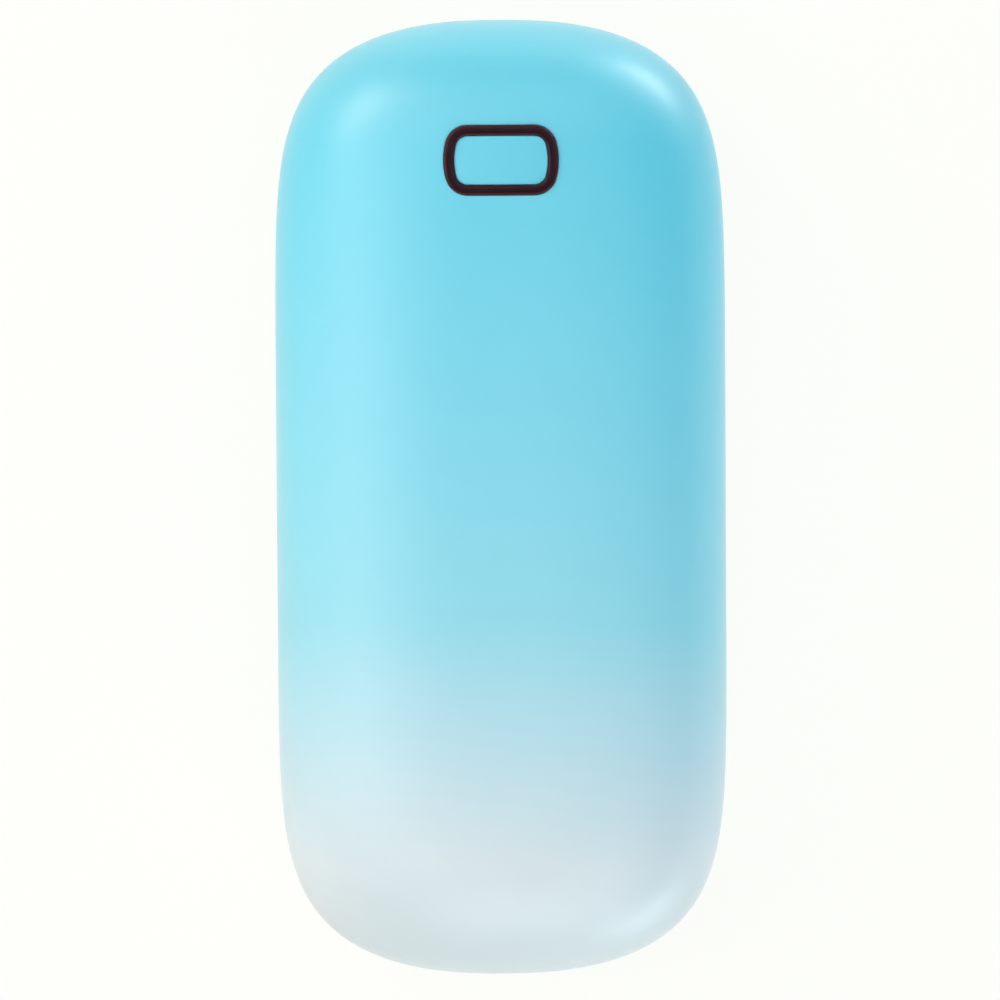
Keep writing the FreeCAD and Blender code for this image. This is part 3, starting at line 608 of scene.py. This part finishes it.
# Rise of the case over a point in plan: the lift whose outline passes through the point, by halving
def riseOver(x, y, inset):
    low, high = np.zeros_like(x), np.ones_like(x)
    for _ in range(caseForm["halvings"]):
        guess = (low + high) / 2
        wide, long = outlineSizes(guess, inset)
        sideShare = (np.abs(x) / wide) ** caseForm["sidePower"]
        outside = sideShare + (np.abs(y) / long) ** caseForm["endPower"] > 1
        low, high = np.where(outside, low, guess), np.where(outside, guess, high)
    return (middle - inset) * high


# Rows up the side of the case, evenly turned: rise = height * sin(turn) ^ (2 / power)
def sideRows(fromRise, toSpread, inset, side, count, heldX=None):
    roll = sectionAt("sideRollPower", inset)
    start = np.sign(fromRise) * np.arcsin((np.abs(fromRise) / (middle - inset)) ** (roll / 2))
    end = np.arccos(toSpread ** (roll / 2))
    turn = start + (end - start) * np.linspace(0, 1, count)[:, None]
    rise = (middle - inset) * np.sign(turn) * np.abs(np.sin(turn)) ** (2 / roll)
    return caseRows(rise, inset, side, heldX)


# Rows over the face: straight lines in plan from an outer loop to an inner one, lifted onto the case
def faceRows(outer, inner, inset, side, count):
    share = (np.linspace(0, 1, count) ** caseForm["faceBunch"])[1:, None]
    x = outer[:, 0] + (inner[:, 0] - outer[:, 0]) * share
    y = outer[:, 1] + (inner[:, 1] - outer[:, 1]) * share
    return np.stack([x, y, middle + side * riseOver(x, y, inset)], -1)


# Rows of the seam, from the inner wall out: lip or rebate, groove, and the rounded outer edge
def seamRows(side, lipInset, lipRise):
    edge = seamForm["edge"]
    reveal = np.maximum(seamForm["reveal"], portOver)
    steps = [(lipInset, np.maximum(lipRise, portOver)), (lipInset, np.maximum(0, portOver))]
    steps += [(seamForm["depth"], np.maximum(0, portOver)), (seamForm["depth"], reveal)]
    for turn in np.linspace(np.pi / 2, 0, seamForm["edgeSteps"])[:-1]:
        steps.append((edge * (1 - np.cos(turn)), reveal + edge * (1 - np.sin(turn))))
    return np.stack([caseRows(rise, inset, side, cutX) for inset, rise in steps])


# Ring, whose outline also cuts the opening of the front shell

ringForm = {
    "cornerRadius": 2.3,
    "bowRadius": 7.5,  # the short sides are bowed by this arc
    "band": 0.97,  # wider than the solid's by part of the button's clearance, which shows as a hairline
    "edge": 0.2,
    "edgeSteps": 7,
    "flange": 0.8,
    "flangeThick": 0.8,
    "seat": 2.4,  # depth of the flange's seat under the top of the case
    "fit": 0.06,
    "collar": 1.2,
    "openingEdge": 0.1,
    "openingSteps": 4,
    "openingHold": 0.3,  # a loop this far outside the opening's edge, so that the face stays evenly shaded
    "holdRows": 2,  # from that loop to the edge, both counted
    "legWide": 4.4,
    "legThick": 0.8,
    "legEdge": 0.1,
}
ringLow, ringHigh = boxMm("light_ring")
ringHalfWidth = ringHigh[0] - ringForm["flange"]
ringHalfHeight = (ringHigh[1] - ringLow[1]) / 2 - ringForm["flange"]
ringY = (ringHigh[1] + ringLow[1]) / 2
ringCentre = np.array([0, ringY])
seatZ = caseTop - ringForm["seat"]
flangeZ = seatZ - ringForm["flangeThick"]


# A quarter loop mirrored into a whole one, with no point twice
def wholeLoop(x, y):
    loopX = np.concatenate([x, -x[-2::-1], -x[1:], x[-2:0:-1]])
    loopY = np.concatenate([y, y[-2::-1], -y[1:], -y[-2:0:-1]])
    return np.stack([loopX, loopY], -1)


# Outline of the ring by the turn of its normal: a bow arc at each side, corner arcs, straight long sides
def bowedLoop(bowSteps=10, cornerSteps=20, straightSteps=10):
    bowX = ringHalfWidth - ringForm["bowRadius"]
    cornerY = ringHalfHeight - ringForm["cornerRadius"]
    cornerX = bowX + np.sqrt((ringForm["bowRadius"] - ringForm["cornerRadius"]) ** 2 - cornerY ** 2)
    meeting = np.arctan2(cornerY, cornerX - bowX)
    bow = np.linspace(0, meeting, bowSteps)
    corner = np.linspace(meeting, np.pi / 2, cornerSteps)[1:]
    straight = np.linspace(cornerX, 0, straightSteps)[1:]
    turn = np.concatenate([bow, corner, np.full(len(straight), np.pi / 2)])
    radius = np.concatenate([
        np.full(len(bow), ringForm["bowRadius"]), np.full(len(corner), ringForm["cornerRadius"]),
    ])
    arcX = np.concatenate([np.full(len(bow), bowX), np.full(len(corner), cornerX)])
    arcY = np.concatenate([np.zeros(len(bow)), np.full(len(corner), cornerY)])
    bent = turn[:len(radius)]
    x = np.concatenate([arcX + radius * np.cos(bent), straight])
    y = np.concatenate([arcY + radius * np.sin(bent), np.full(len(straight), ringHalfHeight)])
    return wholeLoop(x, y), wholeLoop(np.cos(turn), np.sin(turn))


ringLoop, ringNormal = bowedLoop()


# A loop in plan carried to a height, which may vary along it
def loopAt(plan, height):
    return np.column_stack([plan, np.broadcast_to(height, len(plan))])


# The ring's outline grown by an offset, at the polar angles of the shell's columns about the ring's middle
def openingAt(offset, angles):
    loopAngles = np.unwrap(np.arctan2(ringLoop[:, 1], ringLoop[:, 0]))
    x, y, normalX, normalY = (
        np.interp(angles, loopAngles, part, period=2 * np.pi) for part in (*ringLoop.T, *ringNormal.T)
    )
    return np.stack([x + normalX * offset, y + normalY * offset + ringY], -1)


# Shells

# Front shell: inner face and side, seam, outer side and face, then down the opening and round its collar
def frontShell():
    wall = caseForm["wall"]
    outerSide = sideRows(sideStart, caseForm["faceSpread"], 0, 1, caseForm["sideRows"])
    rebateRise = seamForm["lipHeight"] + seamForm["lipGap"]
    innerSide = sideRows(
        np.maximum(rebateRise, portOver), caseForm["innerSpread"], wall, 1, caseForm["innerRows"], cutX,
    )[::-1]
    faceAngles = np.arctan2(outerSide[-1, :, 1] - ringY, outerSide[-1, :, 0])
    innerAngles = np.arctan2(innerSide[0, :, 1] - ringY, innerSide[0, :, 0])
    fit, edge = ringForm["fit"], ringForm["openingEdge"]
    holdLoop = openingAt(fit + edge + ringForm["openingHold"], faceAngles)
    outerFace = np.concatenate([
        faceRows(outerSide[-1], holdLoop, 0, 1, caseForm["faceRows"]),
        faceRows(holdLoop, openingAt(fit + edge, faceAngles), 0, 1, ringForm["holdRows"]),
    ])
    collarLoop = openingAt(ringForm["flange"] + ringForm["collar"], innerAngles)
    innerFace = faceRows(innerSide[0], collarLoop, wall, 1, caseForm["innerRows"])[::-1]
    top = outerFace[-1, :, 2]
    opening = []
    for turn in np.linspace(0, np.pi / 2, ringForm["openingSteps"])[1:]:
        plan = openingAt(fit + edge * (1 - np.sin(turn)), faceAngles)
        opening.append(loopAt(plan, top - edge * (1 - np.cos(turn))))
    flangeOut = ringForm["flange"] + fit
    for offset, height in ((fit, seatZ), (flangeOut, seatZ), (flangeOut, flangeZ)):
        opening.append(loopAt(openingAt(offset, faceAngles), height))
    opening.append(loopAt(collarLoop, flangeZ))
    seam = seamRows(1, seamForm["lipInset"] - seamForm["lipGap"], rebateRise)
    rows = np.concatenate([innerFace, innerSide, seam, outerSide, outerFace, np.stack(opening)])
    return skin(rows, closedRows=True)


# Rear shell: from the middle of its inner face out to the lip, round the seam, over to the face it rests on
def rearShell():
    wall = caseForm["wall"]
    outerSide = sideRows(sideStart, caseForm["faceSpread"], 0, -1, caseForm["sideRows"])
    lipRise = np.maximum(-seamForm["lipHeight"], portOver)
    innerSide = sideRows(lipRise, caseForm["faceSpread"], wall, -1, caseForm["innerRows"], cutX)[::-1]
    centre = np.zeros((len(columnX), 2))
    outerFace = faceRows(outerSide[-1], centre, 0, -1, caseForm["faceRows"])[:-1]
    innerFace = faceRows(innerSide[0], centre, wall, -1, caseForm["innerRows"])[-2::-1]
    seam = seamRows(-1, seamForm["lipInset"], -seamForm["lipHeight"])
    return skin(np.concatenate([innerFace, innerSide, seam, outerSide, outerFace]))


paint = sprayedAbs()
frontPiece = addPiece("front_shell_moulded", [frontShell()], "case", paint)
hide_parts("front_shell")
rearPiece = addPiece("rear_shell_moulded", [rearShell()], "case", paint)
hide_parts("rear_shell")


# Light ring

# Rounded rectangle by the turn of its normal, round the middle of a box
def roundedLoop(halfX, halfY, radius, cornerSteps=6, straightSteps=2):
    turn = np.linspace(0, np.pi / 2, cornerSteps)
    x = np.concatenate([
        np.full(straightSteps, halfX), halfX - radius + radius * np.cos(turn)[1:],
        np.linspace(halfX - radius, 0, straightSteps)[1:],
    ])
    y = np.concatenate([
        np.linspace(0, halfY - radius, straightSteps), halfY - radius + radius * np.sin(turn)[1:],
        np.full(straightSteps - 1, halfY),
    ])
    return wholeLoop(x, y)


# A post: a rounded rectangle carried up, with its two ends eased in by a small edge
def post(centreX, centreY, halfX, halfY, lowZ, highZ, edge):
    rows = []
    for inset, height in ((edge, lowZ), (0, lowZ + edge), (0, highZ - edge), (edge, highZ)):
        plan = roundedLoop(halfX - inset, halfY - inset, 2 * edge - inset)
        rows.append(loopAt(plan + (centreX, centreY), height))
    return skin(np.stack(rows))


# Profile of the ring, carried round its outline: flange, outer wall, rounded crown and inner wall.
# Offsets count outwards from the outer wall, so the crown runs from 0 to minus the band
def ringProfile():
    topZ, edge, band, flange = ringHigh[2], ringForm["edge"], ringForm["band"], ringForm["flange"]
    turn = np.linspace(0, np.pi / 2, ringForm["edgeSteps"])
    outerEdge = np.column_stack([-edge + edge * np.cos(turn), topZ - edge + edge * np.sin(turn)])
    innerEdge = np.column_stack([-band + edge - edge * np.sin(turn), topZ - edge + edge * np.cos(turn)])
    foot = np.array([(flange, flangeZ), (flange, seatZ), (0, seatZ)])
    return np.concatenate([foot, outerEdge, innerEdge, [(-band, flangeZ)]])


profile = ringProfile()
ringRows = np.stack([
    loopAt(ringLoop + ringNormal * offset + ringCentre, height) for offset, height in profile
])
# share of the way across the band, which the ring's material uses to paint light in red at its edges
acrossBand = np.repeat(np.clip(-profile[:, 0] / ringForm["band"], 0, 1), len(ringLoop))
legX = ringHalfWidth - ringForm["fit"] - ringForm["legThick"] / 2
legs = [
    post(
        side * legX, ringY, ringForm["legThick"] / 2, ringForm["legWide"] / 2, ringLow[2], flangeZ,
        ringForm["legEdge"],
    )
    for side in (-1, 1)
]
midBand = 0.5  # the legs take the tone of the middle of the band
acrossBand = np.concatenate([acrossBand] + [np.full(len(leg[0]), midBand) for leg in legs])
ringPiece = addPiece(
    "light_ring_moulded", [skin(ringRows, closedRows=True)] + legs, "case", smokedPolycarbonate(),
    ("acrossBand", acrossBand),
)
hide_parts("light_ring")

# Button

buttonForm = {
    "gap": 0.05,  # to the inner wall of the ring
    "edge": 0.15,
    "edgeSteps": 5,
    "domeRadius": 70.0,
    "flangeDrop": 0.1,  # under the flange of the ring
    "flangeThick": 0.9,
    "flangeReach": 0.7,
    "flangeEndGap": 0.5,
    "stemRadius": 1.6,
    "stemEdge": 0.15,
    "domeRows": 12,
}
buttonLow, buttonHigh = boxMm("button_cap")


# Button: the ring's outline shrunk to the gap, domed by a sphere, eased at its edge, then down the wall,
# out over the flange and in to a round stem
def buttonCap():
    inset = -(ringForm["band"] + buttonForm["gap"])
    edge, radius = buttonForm["edge"], buttonForm["domeRadius"]
    outline = ringLoop + ringNormal * inset
    crown = ringLoop + ringNormal * (inset - edge)

    def domeAt(plan):
        return buttonHigh[2] - radius + np.sqrt(radius ** 2 - (plan ** 2).sum(axis=1))

    shares = np.linspace(0, 1, buttonForm["domeRows"])[1:]
    loops = [(crown * share, domeAt(crown * share)) for share in shares]
    rim = domeAt(crown)
    for turn in np.linspace(0, np.pi / 2, buttonForm["edgeSteps"])[1:]:
        plan = ringLoop + ringNormal * (inset - edge + edge * np.sin(turn))
        loops.append((plan, rim - edge + edge * np.cos(turn)))
    flangeTop = flangeZ - buttonForm["flangeDrop"]
    flangeLow = flangeTop - buttonForm["flangeThick"]
    flangeHalf = np.array([
        legX - ringForm["legThick"] / 2 - buttonForm["flangeEndGap"],
        ringHalfHeight - ringForm["band"] + buttonForm["flangeReach"],
    ])
    flange = outline / np.abs(outline).max(axis=0) * flangeHalf
    around = outline / np.linalg.norm(outline, axis=1)[:, None]
    stem = around * buttonForm["stemRadius"]
    stemEnd = around * (buttonForm["stemRadius"] - buttonForm["stemEdge"])
    stemLow = buttonLow[2]
    loops += [(outline, flangeTop), (flange, flangeTop), (flange, flangeLow)]
    loops += [(stem, flangeLow), (stem, stemLow + buttonForm["stemEdge"]), (stemEnd, stemLow)]
    return skin(np.stack([loopAt(plan + ringCentre, height) for plan, height in loops]))


buttonPiece = addPiece("button_cap_moulded", [buttonCap()], "button", paint)
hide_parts("button_cap")

# Charging socket

socketForm = {"skin": 0.3, "lip": 0.14, "endSteps": 18, "straightSteps": 6, "rollSteps": 9}


# Socket shell: a rolled lip profile carried round a flat-sided oval, open at both ends
def socketShell():
    radius = (socketHigh[2] - socketLow[2]) / 2
    straight = socketHigh[0] - radius
    turn = np.linspace(0, np.pi / 2, socketForm["endSteps"])
    flat = np.linspace(straight, 0, socketForm["straightSteps"])[1:]
    endsThenFlat = np.concatenate([np.full(len(turn), straight), flat])
    centreX = wholeLoop(endsThenFlat, np.zeros(len(endsThenFlat)))[:, 0]
    normalX = np.concatenate([np.cos(turn), np.zeros(len(flat))])
    normalZ = np.concatenate([np.sin(turn), np.ones(len(flat))])
    normal = wholeLoop(normalX, normalZ)
    lip, thick = socketForm["lip"], socketForm["skin"]
    lipY = socketHigh[1] - lip
    roll = np.linspace(0, np.pi, socketForm["rollSteps"])
    crest = socketForm["rollSteps"] // 2
    rising, falling = roll[:crest + 1], roll[crest:]
    profileOut = np.concatenate([
        [radius], radius - lip + lip * np.cos(rising), radius - thick + lip + lip * np.cos(falling),
        [radius - thick],
    ])
    profileY = np.concatenate([
        [socketLow[1]], lipY + lip * np.sin(rising), lipY + lip * np.sin(falling), [socketLow[1]],
    ])
    x = centreX[None, :] + normal[None, :, 0] * profileOut[:, None]
    z = middle + normal[None, :, 1] * profileOut[:, None]
    y = np.broadcast_to(profileY[:, None], x.shape)
    return skin(np.stack([x, y, z], -1), closedRows=True)


socketPiece = addPiece("usb_socket_shell_rolled", [socketShell()], "case", drawnSteel)
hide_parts("usb_socket_shell")

# Foam pads

padForm = {
    "gap": 0.03,  # to the heater film
    "edge": 0.4,
    "corner": 3.4,
    "cellGap": 0.15,
    "filmThick": 0.2,
    "padThick": 0.9,  # where no cell is under the pad
    "leastThick": 0.3,
    "rows": 14,
    "cornerSteps": 10,
    "straightSteps": 12,
    "rimSteps": 9,
}
filmInset = middle - (boxMm("front_heater_film")[1][2] - middle) + padForm["filmThick"]
cellLow, cellHigh = boxMm("battery_cell_right")
cellRadius = (cellHigh[2] - cellLow[2]) / 2 + padForm["cellGap"]
cellX = (cellHigh[0] + cellLow[0]) / 2


# Foam pad: a sheet between the film's curve and the crests of the cells, its rim swelling out and turning
# under by a half circle
def foamPad(nodeName, side):
    low, high = boxMm(nodeName)
    centre, half = (low + high)[:2] / 2, (high - low)[:2] / 2
    topInset = filmInset + padForm["gap"]
    lowInset = middle - np.abs(boxMm("front_foam_pad")[1][2] - middle) + padForm["padThick"]

    def skinsAt(plan):
        top = riseOver(plan[..., 0], plan[..., 1], topInset)
        over = np.maximum(cellRadius ** 2 - (np.abs(plan[..., 0]) - cellX) ** 2, 0)
        under = np.maximum(riseOver(plan[..., 0], plan[..., 1], lowInset), np.sqrt(over))
        return top, np.minimum(under, top - padForm["leastThick"])

    edge, corner = padForm["edge"], padForm["corner"]
    steps = padForm["cornerSteps"], padForm["straightSteps"]
    inner = roundedLoop(*(half - edge), corner - edge, *steps)
    shares = np.linspace(0, 1, padForm["rows"])[1:]
    upper = inner[None] * shares[:, None, None] + centre
    turns = np.linspace(0, np.pi, padForm["rimSteps"])[1:-1]
    swell = edge * np.sin(turns) - edge
    rim = np.stack([roundedLoop(*(half + out), corner + out, *steps) for out in swell]) + centre
    plan = np.concatenate([upper, rim, upper[::-1]])
    weight = np.concatenate([np.ones(len(upper)), (1 + np.cos(turns)) / 2, np.zeros(len(upper))])[:, None]
    top, under = skinsAt(plan)
    rise = under + (top - under) * weight
    return skin(np.concatenate([plan, (middle + side * rise)[..., None]], -1))


foam = openCellFoam()
for nodeName, side in (("front_foam_pad", 1), ("rear_foam_pad", -1)):
    pad = addPiece(nodeName + "_soft", [foamPad(nodeName, side)], "case", foam)
    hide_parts(nodeName)

# Floor, light and camera

stageForm = {
    "floorSize": 6000.0,
    "floorDrop": 0.02,  # a hair below the back of the case
    "floorColour": "#f7f8f4",
    "fibreSize": 1.5,
    "fibreTone": 0.01,  # share by which the paper's fibres darken it
    "white": "#fefffb",
    "glow": 0.93,  # share of the floor that the camera sees as plain white, the rest keeps the shadow
    "skyColour": "#f4f7fa",
    "skyLow": 0.08,  # strength at the horizon and overhead
    "skyHigh": 0.03,
    "sweepFull": 0.12,  # slope over the horizon up to which the backdrop is white, and where it is gone
    "sweepGone": 0.28,
}


# One where a ray comes from the camera, a mirror-like or a see-through surface, else zero
def seenDirectly(tree):
    path = addNode(tree, "LightPath").node.outputs
    seen = path["Is Camera Ray"]
    for ray in ("Is Glossy Ray", "Is Transmission Ray"):
        seen = addNode(tree, "Math", {0: seen, 1: path[ray]}, operation="MAXIMUM")
    return seen


# Floor: matt paper, which the camera, mirror-like and see-through rays see as mostly plain white
def makeFloor():
    half = stageForm["floorSize"] * mm / 2
    mesh = bpy.data.meshes.new("studio_floor")
    low = -stageForm["floorDrop"] * mm
    corners = [(-half, -half, low), (half, -half, low), (half, half, low), (-half, half, low)]
    mesh.from_pydata(corners, [], [(0, 1, 2, 3)])
    material, tree, shader, coords = startMaterial("floor_paper_matt", {
        "Roughness": 0.95, "Specular IOR Level": 0.1,
    })
    fibre = addNode(tree, "TexNoise", {"Vector": coords, "Scale": scaleFor(stageForm["fibreSize"])})
    colour = varyTone(tree, stageForm["floorColour"], fibre, 1 - stageForm["fibreTone"], 1.0)
    plug(tree, shader, {"Base Color": colour})
    share = addNode(tree, "Math", {0: seenDirectly(tree), 1: stageForm["glow"]}, operation="MULTIPLY")
    white = addNode(tree, "Emission", {"Color": stageForm["white"], "Strength": 1.0})
    mixed = addNode(tree, "MixShader", {0: share, 1: shader.outputs["BSDF"], 2: white})
    plug(tree, tree.nodes["Material Output"], {"Surface": mixed})
    mesh.materials.append(material)
    floor = placeObject("studio_floor", mesh)


# World: a pale room, brightest at the horizon and dim overhead, with a white sweep low behind the object
# for the same rays that see the floor as white
def makeWorld():
    world = bpy.data.worlds.new("studio_world")
    world.use_nodes = True
    bpy.context.scene.world = world
    tree = world.node_tree
    direction = addNode(tree, "TexCoord", output="Generated")
    height = addNode(tree, "SeparateXYZ", {"Vector": direction}, output="Z")
    strength = addNode(tree, "MapRange", {
        "Value": height, "To Min": stageForm["skyLow"], "To Max": stageForm["skyHigh"],
    })
    room = tree.nodes["Background"]
    plug(tree, room, {"Color": stageForm["skyColour"], "Strength": strength})
    sweep = addNode(tree, "MapRange", {
        "Value": height, "From Min": stageForm["sweepGone"], "From Max": stageForm["sweepFull"],
    })
    share = addNode(tree, "Math", {0: seenDirectly(tree), 1: sweep}, operation="MULTIPLY")
    white = addNode(tree, "Background", {"Color": stageForm["white"], "Strength": 1.0})
    mixed = addNode(tree, "MixShader", {0: share, 1: room.outputs["Background"], 2: white})
    plug(tree, tree.nodes["World Output"], {"Surface": mixed})


# Soft boxes: azimuth from +X towards +Y and elevation over the floor in degrees, distance and sides in mm,
# the brightness of their faces, where 1 is white, and a tint: warm low on the left, plain or a little cool
# elsewhere
softBoxes = {
    "key_left": {
        "azimuth": 180, "elevation": 32, "distance": 600,
        "sides": (260, 540), "white": 1.8, "tint": "#ffe9da",
    },
    "overhead_left": {
        "azimuth": 177, "elevation": 60, "distance": 1000,
        "sides": (420, 620), "white": 2.85, "tint": "#ffffff",
    },
    "overhead_far": {
        "azimuth": 75, "elevation": 66, "distance": 1000,
        "sides": (900, 800), "white": 1.25, "tint": "#f6fbff",
    },
    "hot_far_left": {
        "azimuth": 139, "elevation": 31, "distance": 600,
        "sides": (270, 210), "white": 9.0, "tint": "#fff1e8",
    },
    "rim_far_right": {
        "azimuth": 50, "elevation": 0, "distance": 330,
        "sides": (150, 24), "white": 34.0, "tint": "#ffffff",
    },
    "rim_near_right": {
        "azimuth": -53, "elevation": 4, "distance": 420,
        "sides": (225, 90), "white": 6.2, "tint": "#e2f3ff",
    },
    "fill_near": {
        "azimuth": -75, "elevation": 42, "distance": 900,
        "sides": (900, 760), "white": 2.2, "tint": "#f6fbff",
    },
}


def makeLights():
    aim = Vector((0, 0, middle * mm))
    for name, box in softBoxes.items():
        turn, lift = np.radians(box["azimuth"]), np.radians(box["elevation"])
        away = Vector((np.cos(turn) * np.cos(lift), np.sin(turn) * np.cos(lift), np.sin(lift)))
        lamp = bpy.data.lights.new(name, "AREA")
        lamp.shape = "RECTANGLE"
        lamp.size, lamp.size_y = (side * mm for side in box["sides"])
        lamp.energy = np.pi * lamp.size * lamp.size_y * box["white"]
        lamp.color = linear(box["tint"])[:3]
        holder = placeObject(name, lamp)
        holder.location = aim + away * box["distance"] * mm
        holder.rotation_euler = (-away).to_track_quat("-Z", "Y").to_euler()
        holder.visible_camera = False


# Camera over the front face, leaning a little to the left and towards the far end, turned a little about
# its own axis, so that the case fills the picture
cameraForm = {
    "distance": 600.0,  # to the seam plane
    "leanLeft": 0.8,  # degrees to the left of straight above, and towards the far end
    "leanFar": 2.8,
    "roll": 0.35,  # degrees, the far end leaning to the left
    "pictureWidth": 107.0,  # at the seam plane
    "aim": (-0.14, -0.24),  # of the middle of the picture from the middle of the case
    "sensor": 36.0,
}


def makeCamera():
    left, far = (np.tan(np.radians(cameraForm[lean])) for lean in ("leanLeft", "leanFar"))
    away = Vector((-left, far, 1)).normalized()
    data = bpy.data.cameras.new("camera_over_front")
    data.sensor_width = cameraForm["sensor"]
    data.lens = cameraForm["sensor"] * cameraForm["distance"] / cameraForm["pictureWidth"]
    holder = placeObject("camera_over_front", data)
    aim = Vector((*cameraForm["aim"], middle)) * mm
    up = Vector((0, 1, 0))
    right = up.cross(away).normalized()
    facing = Matrix((right, away.cross(right), away)).transposed().to_4x4()
    roll = Matrix.Rotation(np.radians(-cameraForm["roll"]), 4, "Z")
    holder.matrix_world = Matrix.Translation(aim + away * cameraForm["distance"] * mm) @ facing @ roll
    bpy.context.scene.camera = holder


makeFloor()
makeWorld()
makeLights()
makeCamera()
print("stage: floor, world,", len(softBoxes), "soft boxes and camera")
